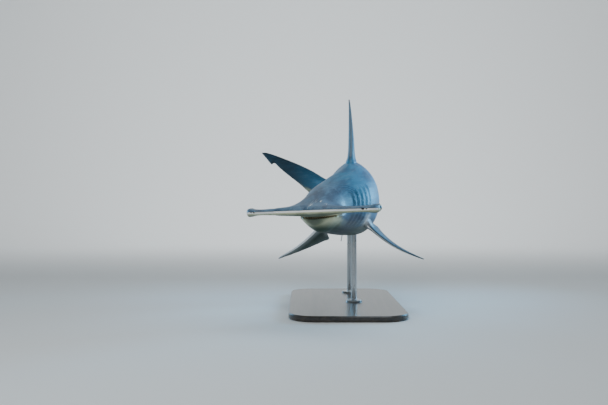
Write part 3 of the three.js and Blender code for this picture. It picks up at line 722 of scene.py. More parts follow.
def carved(piece):
    """The fused skin is worked over: gill flaps and slits, folds, furrows on the hammer, pits and muscle."""
    points = points_of(piece)
    local = to_shark(points)
    back, across, up = straightened(local)
    rise = rise_of(back, up)
    on_body = (back > HEAD_END) & (back < STALK_END)
    on_body = on_body & (np.abs(across) < half(back) + 0.008) & (np.abs(rise) < 1.06)
    flank = on_body * smooth(np.abs(across) / half(back), 0.3, 0.6)
    slits, _ = gill_slits(back, up, rise)
    push = slits * flank - FOLD_DEPTH * neck_folds(back, across, up) * flank
    # muscle under the skin, in bands across the trunk that lean back from the lateral line
    bands = np.sin(2 * math.pi * (back - 0.07 * np.abs(rise - 0.2)) / MUSCLE_PITCH)
    push += MUSCLE_SWELL * bands * on_body * smooth(back, GILLS_END, GILLS_END + 0.1)
    # the lateral line, the pit before the tail and the vent
    push -= 0.0008 * bump(rise, 0.22, 0.02) * on_body * smooth(back, 0.24 * TL, 0.27 * TL)
    push -= 0.006 * bump(back, 0.708 * TL, 0.0045 * TL) * smooth(rise, 0.8, 0.95) * on_body
    push -= 0.003 * bump(back, 0.525 * TL, 0.008 * TL) * bump(across, 0, 0.003) * (rise < -0.8)
    # furrows that run back from the notches of the hammer's front edge, and the groove inside each nostril
    on_head = (local[:, 1] < HEAD_END) & (np.abs(local[:, 0]) < HAMMER_HALF + 0.01)
    wide = np.abs(local[:, 0])
    from_front = local[:, 1] - front_edge(local[:, 0])
    for notch in (0, 0.061 * TL):
        run = np.exp(-np.maximum(from_front, 0) / 0.028)
        push -= 0.0022 * bump(wide, notch, 0.007) * run * on_head
    push -= 0.0019 * on_groove(wide) * bump(local[:, 2], -0.0015, 0.0014) * (from_front < 0.008) * on_head
    # a fold from each corner of the mouth
    corner = np.hypot(local[:, 1] - MOUTH_CORNER - 0.004, local[:, 2] - PALATE - 0.004)
    outer = smooth(wide, 0.07, 0.078) * (1 - smooth(wide, 0.11, 0.115))
    push -= 0.0013 * bump(corner, 0.012, 0.003) * outer * (local[:, 2] < PALATE + 0.006) * on_head
    # the thin rear rims of the fins are a little uneven
    for name in FINS:
        share, behind, before, off, on = on_fin(name, local, (back, across, up))
        sway = np.sin(share * 41) + 0.6 * np.sin(share * 97 + 1)
        rim = np.exp(-np.maximum(before, 0) / 0.02) * on * smooth(share, 0.05, 0.15)
        push += 0.00035 * sway * rim
    move_points(piece, points + normals_of(piece) * push[:, None])


def skin():
    head = hammer()
    for side in (1, -1):
        cut_away(head, ellipsoid("nostril", nostril_centre(side), NOSTRIL_RADII, 24, 16))
    pieces = [head, lower_jaw(), wrapped_sheet("body", 260, 144, body_and_lobe), lids(1), lids(-1)]
    pieces += [ellipsoid("flap", flap_centre(side), FLAP_RADII, 20, 14) for side in (1, -1)]
    pieces += [wrapped_sheet(name, 80, 72, fin_at(fin, stand)) for name, (fin, stand, _) in FINS.items()]
    made = joined(pieces, "shark_skin")
    modified(made, "REMESH", mode="VOXEL", voxel_size=SKIN_GRID, adaptivity=0)
    modified(made, "SMOOTH", factor=0.5, iterations=4)
    throat = made.vertex_groups.new(name="throat")
    x, y, z = to_shark(points_of(made)).T
    soft = smooth(y, MOUTH_CORNER - 0.03, MOUTH_CORNER + 0.02) * (1 - smooth(y, 0.17 * TL, 0.2 * TL))
    soft = soft * smooth(-z, 0.036, 0.046)
    corner = smooth(y, MOUTH_CORNER - 0.02, MOUTH_CORNER + 0.002) * (1 - smooth(y, 0.15 * TL, 0.18 * TL))
    soft = np.maximum(soft * (np.abs(x) < 0.14), corner * smooth(-z, 0.012, 0.02) * (np.abs(x) < 0.125))
    for level in (0.25, 0.5, 0.75, 1.0):
        throat.add(np.nonzero((soft > level - 0.25) & (soft <= level))[0].tolist(), level, "REPLACE")
    modified(made, "SMOOTH", factor=0.5, iterations=150, vertex_group="throat")
    made.vertex_groups.clear()
    refined(made, needs_detail)
    modified(made, "SMOOTH", factor=0.5, iterations=2)
    carved(made)
    made.data.calc_loop_triangles()
    fewer = min(1.0, MOST_FACES / len(made.data.loop_triangles))
    modified(made, "DECIMATE", ratio=fewer, use_collapse_triangulate=True)
    return made


# Finishes
def linear(hex_colour):
    """An sRGB hex value as linear colour."""
    parts = [int(hex_colour[k : k + 2], 16) / 255 for k in (1, 3, 5)]
    return tuple(p / 12.92 if p <= 0.04045 else ((p + 0.055) / 1.055) ** 2.4 for p in parts) + (1.0,)


def new_material(name, **shader_values):
    material = bpy.data.materials.new(name)
    material.use_nodes = True
    tree = material.node_tree
    shader = tree.nodes["Principled BSDF"]
    for socket, value in shader_values.items():
        shader.inputs[socket.replace("_", " ")].default_value = value
    return material, tree, shader


def add_node(tree, kind, output=0, settings=(), **sockets):
    """Adds a shader node and gives its output of that name or number. Settings are its own properties.
    Sockets are named, or numbered as in _0, and each is given a value or the output that feeds it."""
    node = tree.nodes.new("ShaderNode" + kind)
    for name, value in dict(settings).items():
        setattr(node, name, value)
    for name, value in sockets.items():
        key = int(name[1:]) if name[1:].isdigit() and name[0] == "_" else name.replace("_", " ")
        if isinstance(value, bpy.types.NodeSocket):
            tree.links.new(value, node.inputs[key])
        else:
            node.inputs[key].default_value = value
    return node.outputs[output]


COLOUR = {"data_type": "RGBA"}
SOFT_STEP = {"interpolation_type": "SMOOTHSTEP"}
TIMES = {"operation": "MULTIPLY"}
PLUS = {"operation": "ADD"}
SKIN_VALUES = ("height", "soft", "under", "lilac", "mauve_shade", "dusk_and_shade", "front", "behind", "rim", "glow")
SKIN_VALUES += ("ray", "rays", "crease_shade", "mouth", "scored", "pores")


def skin_material():
    # Shark skin: countless tooth-like scales a third of a millimetre across make it matt along the light and
    # silky against it. Blue-grey above, cream below, with a white line along the leading edges.
    material, tree, shader = new_material(
        "shark_skin_denticled", Roughness=0.5, IOR=1.4, Coat_Weight=0.06, Coat_Roughness=0.35
    )

    def put(kind, output=0, settings=(), **sockets):
        return add_node(tree, kind, output, settings, **sockets)

    carried = {name: put("Attribute", "Fac", {"attribute_name": name}) for name in SKIN_VALUES}
    lie = put("Attribute", "Vector", {"attribute_name": "lie"})
    drawn_out = put("Mapping", Vector=lie, Scale=(1.0, 3.2, 3.2))
    lengthwise = put("Mapping", Vector=lie, Scale=(9.0, 60.0, 60.0))
    cloud = put("TexNoise", "Fac", Vector=drawn_out, Scale=7.0, Detail=5.0, Roughness=0.6)
    streak = put("TexNoise", "Fac", Vector=lengthwise, Scale=1.0, Detail=4.0)
    fleck = put("TexNoise", "Fac", Vector=lie, Scale=260.0, Detail=2.0, Roughness=0.6)
    speck = put("TexVoronoi", "Distance", Vector=lie, Scale=95.0)

    # above: slate blue, more lilac towards the head, with long soft clouds and fine streaks
    clouds = put("MapRange", 0, SOFT_STEP, Value=cloud, _1=0.36, _2=0.66)
    back = put("Mix", 2, COLOUR, _0=clouds, _6=linear("#19577a"), _7=linear("#2f789c"))
    front = put("Mix", 2, COLOUR, _0=clouds, _6=linear("#394f66"), _7=linear("#53718a"))
    above = put("Mix", 2, COLOUR, _0=carried["lilac"], _6=back, _7=front)
    streaks = put("MapRange", 0, SOFT_STEP, Value=streak, _1=0.5, _2=0.78, _4=0.35)
    flecks = put("MapRange", 0, SOFT_STEP, Value=fleck, _1=0.55, _2=0.75, _4=0.3)
    for share, shade in ((streaks, "#6496b0"), (flecks, "#18384c")):
        above = put("Mix", 2, COLOUR, _0=share, _6=above, _7=linear(shade))
    # below: cream with grey-green clouds, then painted shade (the "under" value) that darkens the jaw, the
    # belly, the hammer's underside and the paired fins
    clouds = put("MapRange", 0, SOFT_STEP, Value=cloud, _1=0.38, _2=0.7)
    below = put("Mix", 2, COLOUR, _0=clouds, _6=linear("#e4e2bc"), _7=linear("#b9ba98"))
    flecks = put("MapRange", 0, SOFT_STEP, Value=fleck, _1=0.55, _2=0.8, _4=0.25)
    for share, shade in ((flecks, "#6f765f"), (carried["under"], "#3a4a3e")):
        below = put("Mix", 2, COLOUR, _0=share, _6=below, _7=linear(shade))
    # the two meet in a line that is sharp along the hammer and soft along the trunk
    centred = put("Math", 0, PLUS, _0=cloud, _1=-0.5)
    ragged = put("Math", 0, TIMES, _0=put("Math", 0, TIMES, _0=centred, _1=carried["soft"]), _1=2.6)
    height = put("Math", 0, PLUS, _0=carried["height"], _1=ragged)
    down = put("Math", 0, TIMES, _0=carried["soft"], _1=-1.0)
    pale = put("MapRange", 0, SOFT_STEP, Value=height, _1=down, _2=carried["soft"], _3=1.0, _4=0.0)
    colour = put("Mix", 2, COLOUR, _0=pale, _6=above, _7=below)

    # painted shade: the lower throat and the cheeks behind the mouth's corners are darkened purple-grey. The
    # fins' ends are dusky, and the fins and the tail are darkened further with painted shade
    mauve_shade = put("Math", 0, TIMES, _0=carried["mauve_shade"], _1=0.6)
    patchy = put("MapRange", 0, SOFT_STEP, Value=cloud, _1=0.2, _2=0.6, _3=0.75)
    dusk_and_shade = put("Math", 0, TIMES, _0=carried["dusk_and_shade"], _1=patchy)
    # white: a line along the hammer's front, the leading edges of the fins (on the right pectoral's top side
    # a painted highlight), and their roots
    rising = put("MapRange", 0, SOFT_STEP, Value=height, _1=-8.0, _2=-5.0)
    falling = put("MapRange", 0, SOFT_STEP, Value=height, _1=-0.4, _2=0.9, _3=1.0, _4=0.0)
    line = put("Math", 0, TIMES, _0=put("Math", 0, TIMES, _0=rising, _1=falling), _1=carried["front"])
    edge = put("MapRange", 0, SOFT_STEP, Value=carried["behind"], _1=3.0, _2=8.0, _3=0.75, _4=0.0)
    inward = put("MapRange", 0, SOFT_STEP, Value=carried["behind"], _1=6.0, _2=58.0, _3=0.25, _4=0.0)
    rim = put("Math", 0, TIMES, _0=put("Math", 0, PLUS, _0=edge, _1=inward), _1=carried["rim"])
    uneven = put("MapRange", 0, SOFT_STEP, Value=streak, _1=0.3, _2=0.7, _3=0.5)
    glow = put("Math", 0, TIMES, _0=uneven, _1=carried["glow"])
    white = put("Math", 0, PLUS, _0=put("Math", 0, PLUS, _0=line, _1=rim), _1=glow)
    # scratches on the snout: short white lines that run with the skin
    scored = put("Mapping", Vector=lie, Scale=(26.0, 330.0, 40.0), Rotation=(0.0, 0.0, 0.28))
    scratch = put("TexNoise", "Fac", Vector=scored, Scale=1.0, Detail=1.0, Roughness=0.4)
    lines = put("MapRange", 0, SOFT_STEP, Value=scratch, _1=0.56, _2=0.6)
    scratches = put("Math", 0, TIMES, _0=lines, _1=carried["scored"])
    # pores of the sense organs
    dots = put("MapRange", 0, SOFT_STEP, Value=speck, _1=0.1, _2=0.16, _3=1.0, _4=0.0)
    pores = put("Math", 0, TIMES, _0=dots, _1=carried["pores"])
    # laid over one another: painted shade on the throat, the fins and tail and in the creases, then white,
    # scratches, pores and the mouth
    for share, shade in (
        (mauve_shade, "#575865"),
        (dusk_and_shade, "#0b2430"),
        (white, "#ffffff"),
        (scratches, "#eef3f4"),
        (pores, "#4a5358"),
        (carried["crease_shade"], "#1d2428"),
        (carried["mouth"], "#54331f"),
    ):
        colour = put("Mix", 2, COLOUR, _0=share, _6=colour, _7=linear(shade))
    tree.links.new(colour, shader.inputs["Base Color"])
    rough = put("MapRange", 0, SOFT_STEP, Value=cloud, _1=0.3, _2=0.7, _3=0.42, _4=0.56)
    tree.links.new(rough, shader.inputs["Roughness"])

    # the scales are drawn at 2.2 mm, as coarse as a close view needs to show them
    scales = put("TexVoronoi", "Distance", Vector=lie, Scale=450.0)
    grain = put("Bump", Strength=0.16, Distance=0.0006, Height=scales)
    # the fins' rays lie 6 mm apart
    wave = put("Math", 0, {"operation": "SINE"}, _0=put("Math", 0, TIMES, _0=carried["ray"], _1=1100.0))
    rays = put("Math", 0, TIMES, _0=wave, _1=carried["rays"])
    ribbed = put("Bump", Strength=0.12, Distance=0.0008, Height=rays, Normal=grain)
    swell = put("Bump", Strength=0.3, Distance=0.003, Height=streak, Normal=ribbed)
    tree.links.new(swell, shader.inputs["Normal"])
    return material


def eye_material():
    # The eye is a wet ball: a black slit pupil, a silvery iris with fine rays, and a dark rim to it
    material, tree, shader = new_material(
        "eyeball_wet", Roughness=0.16, IOR=1.34, Coat_Weight=0.5, Coat_Roughness=0.03
    )
    gaze = add_node(tree, "Attribute", "Fac", {"attribute_name": "gaze"})
    around = add_node(tree, "Attribute", "Vector", {"attribute_name": "round"})
    ray = add_node(tree, "TexNoise", "Fac", Vector=around, Scale=16.0, Detail=3.0)
    share = add_node(tree, "MapRange", 0, SOFT_STEP, Value=ray, _1=0.35, _2=0.65)
    iris = add_node(tree, "Mix", 2, COLOUR, _0=share, _6=linear("#a9aa93"), _7=linear("#f0f0de"))
    # outwards from the middle, in degrees: pupil, iris, dark rim, white of the eye
    colour = linear("#040506")
    rim, white = linear("#0c1013"), linear("#4c6671")
    for inner, outer, ring in ((25.0, 27.0, iris), (48.0, 53.0, rim), (58.0, 66.0, white)):
        share = add_node(tree, "MapRange", 0, SOFT_STEP, Value=gaze, _1=inner, _2=outer)
        colour = add_node(tree, "Mix", 2, COLOUR, _0=share, _6=colour, _7=ring)
    tree.links.new(colour, shader.inputs["Base Color"])
    return material


def tooth_material():
    # Tooth enamel: ivory, smooth and a little see-through, stained where it leaves the gum
    material, tree, shader = new_material(
        "tooth_enamel", Roughness=0.22, IOR=1.62, Subsurface_Weight=0.15, Coat_Weight=0.3, Coat_Roughness=0.1
    )
    shader.inputs["Subsurface Radius"].default_value = (0.002, 0.0015, 0.001)
    tip = add_node(tree, "Attribute", "Fac", {"attribute_name": "tip"})
    where = add_node(tree, "TexCoord", "Object")
    stain = add_node(tree, "TexNoise", "Fac", Vector=where, Scale=300.0, Detail=3.0)
    share = add_node(tree, "MapRange", 0, SOFT_STEP, Value=tip, _1=0.15, _2=0.6)
    body = add_node(tree, "Mix", 2, COLOUR, _0=stain, _6=linear("#c9bb88"), _7=linear("#e4d9b2"))
    colour = add_node(tree, "Mix", 2, COLOUR, _0=share, _6=linear("#7a5a38"), _7=body)
    tree.links.new(colour, shader.inputs["Base Color"])
    return material


def lacquered_wood():
    # Stained ash under satin lacquer: near black, with the open grain still to be felt along the board
    material, tree, shader = new_material(
        "ash_stained_lacquered", Roughness=0.34, IOR=1.5, Coat_Weight=0.35, Coat_Roughness=0.16
    )
    where = add_node(tree, "TexCoord", "Object")
    along = add_node(tree, "Mapping", Vector=where, Scale=(42.0, 2.2, 42.0))
    warp = add_node(tree, "TexNoise", "Fac", Vector=where, Scale=3.0, Detail=2.0)
    grain = add_node(
        tree, "TexNoise", "Fac", Vector=along, Scale=1.0, Detail=6.0, Roughness=0.62, Distortion=0.6
    )
    pore = add_node(tree, "Mapping", Vector=where, Scale=(520.0, 14.0, 520.0))
    pores = add_node(tree, "TexNoise", "Fac", Vector=pore, Scale=1.0, Detail=2.0)
    shade = add_node(tree, "MapRange", 0, SOFT_STEP, Value=grain, _1=0.34, _2=0.66)
    tone = add_node(tree, "MapRange", Value=warp, _1=0.3, _2=0.7, _4=0.4)
    dark = add_node(tree, "MapRange", 0, SOFT_STEP, Value=pores, _1=0.58, _2=0.7, _4=0.7)
    colour = linear("#1b1816")
    for share, stain in ((shade, "#383029"), (tone, "#241d19"), (dark, "#0b0a09")):
        colour = add_node(tree, "Mix", 2, COLOUR, _0=share, _6=colour, _7=linear(stain))
    tree.links.new(colour, shader.inputs["Base Color"])
    relief = add_node(tree, "Bump", Strength=0.25, Distance=0.0004, Height=pores)
    tree.links.new(relief, shader.inputs["Normal"])
    return material


def brushed_steel():
    # Stainless steel rod, ground round and round: fine rings that spread each highlight into a band
    material, tree, shader = new_material(
        "stainless_steel_brushed", Metallic=1.0, Roughness=0.3, Anisotropic=0.5
    )
    where = add_node(tree, "TexCoord", "Object")
    rings = add_node(tree, "Mapping", Vector=where, Scale=(25.0, 25.0, 900.0))
    brush = add_node(tree, "TexNoise", "Fac", Vector=rings, Scale=1.0, Detail=4.0)
    smear = add_node(tree, "TexNoise", "Fac", Vector=where, Scale=14.0, Detail=3.0)
    colour = add_node(tree, "Mix", 2, COLOUR, _0=brush, _6=linear("#a3a6a9"), _7=linear("#cdd0d2"))
    tree.links.new(colour, shader.inputs["Base Color"])
    rough = add_node(tree, "MapRange", Value=smear, _1=0.3, _2=0.7, _3=0.22, _4=0.4)
    tree.links.new(rough, shader.inputs["Roughness"])
    relief = add_node(tree, "Bump", Strength=0.15, Distance=0.0002, Height=brush)
    tree.links.new(relief, shader.inputs["Normal"])
    return material


def carry(piece, name, values):
    """A value, or a vector, for each point of a piece, which its material reads by name."""
    values = np.asarray(values, dtype=np.float32)
    vector = values.ndim == 2
    layer = piece.data.attributes.new(name, "FLOAT_VECTOR" if vector else "FLOAT", "POINT")
    layer.data.foreach_set("vector" if vector else "value", values.ravel())


def finished(piece, material):
    piece.data.materials.clear()
    piece.data.materials.append(material)
    active(piece)
    bpy.ops.object.shade_smooth()
    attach(piece, "root")
    return piece


# How far below the waist the flank's colour turns pale, as a share of the way to the keel, and how softly
PALE_SHARES = ((0.09, 0.0), (0.11, 0.12), (0.128, 0.42), (0.16, 0.62), (0.3, 0.68), (0.7, 0.55))
PALE_SOFTNESS = ((0.07, 1.3), (0.09, 3.5), (0.11, 13.0), (0.14, 19.0), (0.2, 22.0), (0.7, 14.0))
# painted shade over the whole of each paired fin; the pelvic fins take 0.7
FIN_SHADE = {"pectoral_left": 0.42, "pectoral_right": 0.05}
SCORES = ((0.055, 0.026, 0.035, 0.009), (0.106, 0.044, 0.016, 0.007), (0.1, 0.074, 0.014, 0.007))
pale_share = graded(*[(at * TL, value) for at, value in PALE_SHARES])
pale_soft = graded(*[(at * TL, value) for at, value in PALE_SOFTNESS])


def dress(piece):
    """Gives the skin the values that its material reads."""
    local = to_shark(points_of(piece))
    back, across, up = lie = straightened(local)
    rise = rise_of(back, up)
    on_body = (back > HEAD_END) & (back < STALK_END)
    on_body = on_body & (np.abs(across) < half(back) + 0.01) & (np.abs(rise) < 1.1)
    wide = np.abs(local[:, 0])
    from_front = local[:, 1] - front_edge(local[:, 0])
    on_head = local[:, 1] < HEAD_END

    # the jaw turns grey sooner than the hammer above it
    sooner = smooth(-up, 0.014, 0.032) * (1 - smooth(wide, 0.11, 0.13)) * smooth(back, 0.068 * TL, 0.09 * TL)
    seen_at = back + 0.012 * TL * sooner * (1 - smooth(back, 0.13 * TL, 0.2 * TL))
    level = waist(back) + (keel(back) - waist(back)) * pale_share(seen_at)
    height = (up - level) * 1000
    soft = pale_soft(seen_at)
    rim = np.zeros_like(back)
    behind_lead = np.full_like(back, 0.06)
    ray = np.zeros_like(back)
    rays = np.zeros_like(back)

    on_lobe = back > STALK_END
    lobe_level = np.interp(back, lobe_x, lobe_z)
    height = np.where(on_lobe, (up - (lobe_level - 0.075)) * 1000, height)
    # the tail darkens towards its end: painted shade
    dusk_and_shade = 0.5 * smooth(back, 0.5 * TL, 0.72 * TL) + 0.5 * smooth(back, 0.72 * TL, 0.9 * TL)

    # painted shade: the jaw, the throat and the belly darken downwards, fading out along the trunk
    painted_shade = smooth(-up / (0.045 * TL), 0.3, 0.8) * (1 - smooth(back, 0.3 * TL, 0.6 * TL))
    # painted shade: the hammer's front face darkens downwards, and so does its underside as far as the mouth
    middle = (1 - smooth(from_front, 0.14, 0.2)) * (1 - smooth(wide, 0.09, 0.17))
    reach = np.maximum(1 - smooth(from_front, 0.04, 0.09), middle)
    painted_shade = np.maximum(painted_shade, 0.9 * smooth(-up, 0.004, 0.02) * on_head * reach)

    for name in FINS:
        share, behind, before, off, on = on_fin(name, local, lie)
        near = on * smooth(share, 0.0, 0.1)
        if name in PAIRED:
            height = height * (1 - near) + near * (-off * 1000 - 0.6)
            soft = soft * (1 - near) + near * 1.8
            # the fins' ends and rear edges are dusky, and each paired fin is darkened all over by painted
            # shade
            tip_dusk_and_shade = 0.9 * smooth(share, 0.66, 1.0) + 0.3 * np.exp(-np.maximum(before, 0) / 0.016)
            dusk_and_shade = np.maximum(dusk_and_shade, near * (tip_dusk_and_shade + FIN_SHADE.get(name, 0.7)))
            # on the right pectoral the white reaches up to 5 mm onto the top side: a painted highlight along
            # its leading edge
            edge = 0.0 if name == "pectoral_left" else -0.005
            white = smooth(off, edge, edge + 0.005) * (1 - 0.7 * smooth(share, 0.6, 1.0))
            rim = np.maximum(rim, near * white)
            # painted shade over the whole of each paired fin
            painted_shade = np.maximum(painted_shade, near * 0.62)
        else:
            above = 30.0 if name in ("first_dorsal", "second_dorsal") else 8.0
            height = height * (1 - near) + near * above
            # the fins' ends and rear edges are dusky, over painted shade of 0.6 on the whole fin, doubled on
            # the lower lobe
            tip_dusk_and_shade = 0.6 + 0.2 * smooth(share, 0.7, 1.0) + 0.15 * np.exp(-np.maximum(before, 0) / 0.03)
            dusk_and_shade = np.maximum(dusk_and_shade, near * tip_dusk_and_shade * (2 if name == "lower_lobe" else 1))
            rim = np.maximum(rim, near * 0.08)
        behind_lead = behind_lead + (np.clip(behind, 0, 0.06) - behind_lead) * near
        ray = np.where(on, behind + 0.4 * share * 0.1, ray)
        rays = np.maximum(rays, near * smooth(behind / np.maximum(behind + before, 0.001), 0.15, 0.5))

    # the skin in front of each pectoral fin's root is almost white
    glow = 0.85 * bump(back, 0.224 * TL, 0.028) * bump(up, -0.052, 0.026) * (np.abs(across) > 0.08)

    _, depth = gill_slits(back, up, rise)
    flank = on_body * smooth(np.abs(across) / half(back), 0.3, 0.6)
    # painted shade in the hollows: the gill slits, the neck folds, the lateral line, the nostril pits, round
    # the eyelids and along the nostril grooves
    crease_shade = 0.52 * depth * flank
    crease_shade = np.maximum(crease_shade, 0.07 * neck_folds(back, across, up) * flank)
    lateral_line = bump(rise, 0.22, 0.018) * smooth(back, 0.24 * TL, 0.27 * TL)
    crease_shade = np.maximum(crease_shade, 0.3 * lateral_line * on_body)
    for side in (1, -1):
        pit = 1 - smooth(ball_distance(local, nostril_centre(side), NOSTRIL_RADII), 0.86, 1.08)
        flap = 1 - smooth(ball_distance(local, flap_centre(side), FLAP_RADII), 1.02, 1.2)
        crease_shade = np.maximum(crease_shade, 0.95 * pit * (1 - flap))
        eye = np.hypot(local[:, 1] - EYE_AT[1], local[:, 2] - EYE_AT[2])
        lid = bump(eye, LID_RING - 0.0025, 0.0035) * (side * local[:, 0] > EYE_AT[0] + 0.004)
        crease_shade = np.maximum(crease_shade, 0.75 * lid)
    groove = 0.55 * on_groove(wide) * bump(local[:, 2], -0.0015, 0.0012)
    crease_shade = np.maximum(crease_shade, groove * (from_front < 0.008) * on_head)

    snout = on_head * (1 - smooth(back, 0.06 * TL, 0.09 * TL))
    carry(piece, "lie", np.stack([back, across, up], axis=1))
    carry(piece, "height", height)
    carry(piece, "soft", soft)
    # the painted shade is carried as "under"
    carry(piece, "under", painted_shade)
    carry(piece, "lilac", 1 - smooth(back, 0.09 * TL, 0.21 * TL) * smooth(rise, -0.6, 0.35))
    # painted shade, purple-grey, under the throat and on the cheek ledge behind each corner of the mouth
    mauve_shade = bump(back, 0.165 * TL, 0.04 * TL) * smooth(-up, 0.005, 0.045)
    cheek_shade = bump(up, PALATE + 0.003, 0.012) * smooth(back, 0.226, 0.242) * (1 - smooth(back, 0.29, 0.34))
    carry(piece, "mauve_shade", np.maximum(mauve_shade, 1.2 * cheek_shade * smooth(wide, 0.07, 0.085)))
    carry(piece, "dusk_and_shade", dusk_and_shade)
    carry(piece, "front", on_head * (1 - smooth(from_front, 0.012, 0.02)) * (wide < HAMMER_HALF - 0.004))
    carry(piece, "behind", behind_lead * 1000)
    carry(piece, "rim", rim)
    carry(piece, "glow", glow)
    carry(piece, "ray", ray)
    carry(piece, "rays", rays)
    carry(piece, "crease_shade", crease_shade)
    carry(piece, "mouth", mouth_depth(local))
    scored = sum(
        bump(local[:, 1], at, long) * bump(local[:, 0], aside, wide_by)
        for at, aside, long, wide_by in SCORES
    )
    carry(piece, "scored", np.minimum(scored, 1) * (up > 0.004) * on_head)
    carry(piece, "pores", snout * np.where(up < 0, 0.75, 0.35) * smooth(from_front, 0.004, 0.02))


shark = skin()
dress(shark)
finished(shark, skin_material())
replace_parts(shark, *[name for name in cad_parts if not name.startswith(("stand_", "eye_"))])


# Eyes
def eye(side):
    name = "eye_ball_left" if side > 0 else "eye_ball_right"
    centre = (side * EYE_AT[0], EYE_AT[1], EYE_AT[2])
    piece = ellipsoid(name, centre, (EYE_RADIUS,) * 3, 96, 64)
    local = to_shark(points_of(piece)) - np.array(centre)
    outward = local / np.linalg.norm(local, axis=1)[:, None]
    look = np.array([side * math.cos(GAZE_FORWARD), -math.sin(GAZE_FORWARD), 0.0])
    level = np.cross(look, (0, 0, 1.0))
    sideways, upright = outward @ level, outward[:, 2]
    # the pupil is taller than it is wide
    slit = np.hypot(sideways, upright * 0.62)
    gaze = np.degrees(np.arctan2(slit, outward @ look))
    carry(piece, "gaze", gaze)
    turn = np.arctan2(upright, sideways)
    carry(piece, "round", np.stack([np.cos(turn), np.sin(turn), gaze * 0.01], axis=1))
    return finished(piece, eye_material())


for side, node in ((1, "eye_left"), (-1, "eye_right")):
    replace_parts(eye(side), node)


# Teeth: one is modelled, and the rows are copies of it
def first_tooth():
    deselected()
    bpy.ops.mesh.primitive_cone_add(vertices=12, radius1=TOOTH_HALF, radius2=0.0, depth=TOOTH_TALL)
    piece = bpy.context.object
    bpy.ops.object.mode_set(mode="EDIT")
    bpy.ops.mesh.select_all(action="SELECT")
    bpy.ops.mesh.subdivide(number_cuts=2)
    bpy.ops.object.mode_set(mode="OBJECT")
    points = points_of(piece)
    rise = points[:, 2] / TOOTH_TALL + 0.5
    points[:, 0] = points[:, 0] * (1.0 + 0.25 * (1 - rise)) + 0.0012 * rise**2
    points[:, 1] *= 0.5
    points[:, 2] += TOOTH_TALL / 2 - TOOTH_ROOT
    move_points(piece, points)
    carry(piece, "tip", rise)
    return piece


def tooth_row(name, count, inset, lift):
    """A row round the mouth's arch, inside the lip by inset. Lift is 1 for the lower row, -1 above."""
    model = first_tooth()
    shrink = math.sqrt(1 - ((PALATE - JAW_UP) / JAW_DEEP) ** 2)
    row = []
    for turn in np.linspace(-1.12, 1.12, count):
        across = math.sin(turn) * (JAW_HALF * shrink - inset)
        back = JAW_BACK - math.cos(turn) * (JAW_LONG * shrink - inset)
        gape = PALATE - float(lip_level(back))
        if gape < LEAST_GAPE:
            continue
        tooth = model.copy()
        tooth.data = model.data.copy()
        bpy.context.collection.objects.link(tooth)
        x, y, z = points_of(tooth).T
        tall = np.where(z > 0, 0.74 * gape / (TOOTH_TALL - TOOTH_ROOT), 1)
        size = np.random.uniform(0.9, 1.08)
        x, z = x * lift * size, z * lift * tall * size
        # teeth face outwards round the arch and lean a little towards the corners
        heading_out = math.atan2(across / (JAW_HALF**2), (JAW_BACK - back) / (JAW_LONG**2))
        cos, sin = math.cos(heading_out), math.sin(heading_out)
        root = PALATE + 0.0004 if lift < 0 else float(lip_level(back)) - 0.0004
        place_at = np.stack([across + x * cos + y * sin, back + x * sin - y * cos, root + z], axis=1)
        move_points(tooth, to_world(place_at))
        row.append(tooth)
    bpy.data.objects.remove(model, do_unlink=True)
    made = active(joined(row, name))
    faces_outwards()
    return finished(made, tooth_material())


tooth_row("teeth_upper", UPPER_TEETH, 0.006, -1)
tooth_row("teeth_lower", LOWER_TEETH, 0.0065, 1)

# The stand keeps its own solids
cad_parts["stand_base"].data.materials.clear()
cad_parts["stand_base"].data.materials.append(lacquered_wood())
steel = brushed_steel()
for rod in ("stand_rod_front", "stand_rod_rear"):
    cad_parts[rod].data.materials.clear()
    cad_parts[rod].data.materials.append(steel)


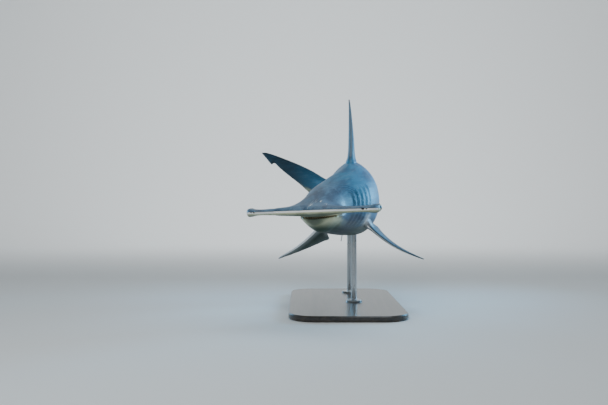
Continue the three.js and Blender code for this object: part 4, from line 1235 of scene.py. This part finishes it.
# A pale studio: floor and wall in one sweep, soft lamps, and the camera
def studio_sweep():
    deselected()
    bpy.ops.mesh.primitive_cylinder_add(vertices=128, radius=11, depth=9, location=(0, 0, 4.499))
    piece = bpy.context.object
    piece.name = "studio_sweep"
    bpy.ops.object.transform_apply(location=True)
    picked(piece, "polygons", [face.normal.z > 0.9 for face in piece.data.polygons])
    bpy.ops.mesh.delete(type="FACE")
    bpy.ops.object.mode_set(mode="OBJECT")
    low = points_of(piece)[:, 2] < 0.1
    picked(piece, "edges", [bool(low[list(edge.vertices)].all()) for edge in piece.data.edges])
    bpy.ops.mesh.bevel(offset=5, segments=20)
    bpy.ops.mesh.select_all(action="SELECT")
    bpy.ops.mesh.flip_normals()
    bpy.ops.object.mode_set(mode="OBJECT")
    bpy.ops.object.shade_smooth()
    material, tree, shader = new_material("studio_paint_matt", Roughness=0.85)
    shader.inputs["Base Color"].default_value = linear("#dde2e4")
    piece.data.materials.append(material)


studio_sweep()
world = bpy.data.worlds.new("studio")
bpy.context.scene.world = world
world.use_nodes = True
world.node_tree.nodes["Background"].inputs[0].default_value = linear("#eef0f2")
world.node_tree.nodes["Background"].inputs[1].default_value = 0.42


def lamp(name, place_at, target, size, power, colour="#ffffff", spread=180):
    data = bpy.data.lights.new(name, "AREA")
    data.spread = math.radians(spread)
    data.shape = "RECTANGLE"
    data.size, data.size_y = size
    data.energy = power
    data.color = linear(colour)[:3]
    piece = bpy.data.objects.new(name, data)
    bpy.context.collection.objects.link(piece)
    piece.location = place_at
    piece.visible_camera = False
    piece.rotation_euler = (Vector(target) - Vector(place_at)).to_track_quat("-Z", "Y").to_euler()


lamp("key_light", (-1.2, -3.2, 2.5), (-0.1, -0.5, 0.5), (1.2, 1.2), 44, "#fff8ee")
lamp("top_light", (0.3, -0.2, 3.4), (0.1, 0.1, 0.5), (2.0, 2.6), 38, "#e2f3ff")
lamp("rim_light_right", (2.3, 1.25, 1.15), (0.1, 0, 0.7), (0.8, 1.0), 11, "#7accff", 50)
lamp("rim_light_left", (-2.1, 1.9, 1.1), (0, 0, 0.8), (0.8, 1.0), 5, "#7accff", 50)
lamp("wall_light", (0, 4.5, 5), (0, 11, 1), (6, 3), 420)

# the photo's own view
view = bpy.data.cameras.new("camera")
view.sensor_width = 36
view.lens = 42
camera = bpy.data.objects.new("camera", view)
bpy.context.collection.objects.link(camera)
camera.location = (-0.2073, -3.7051, 0.539)
camera.rotation_euler = (math.radians(90), 0, 0)
bpy.context.scene.camera = camera
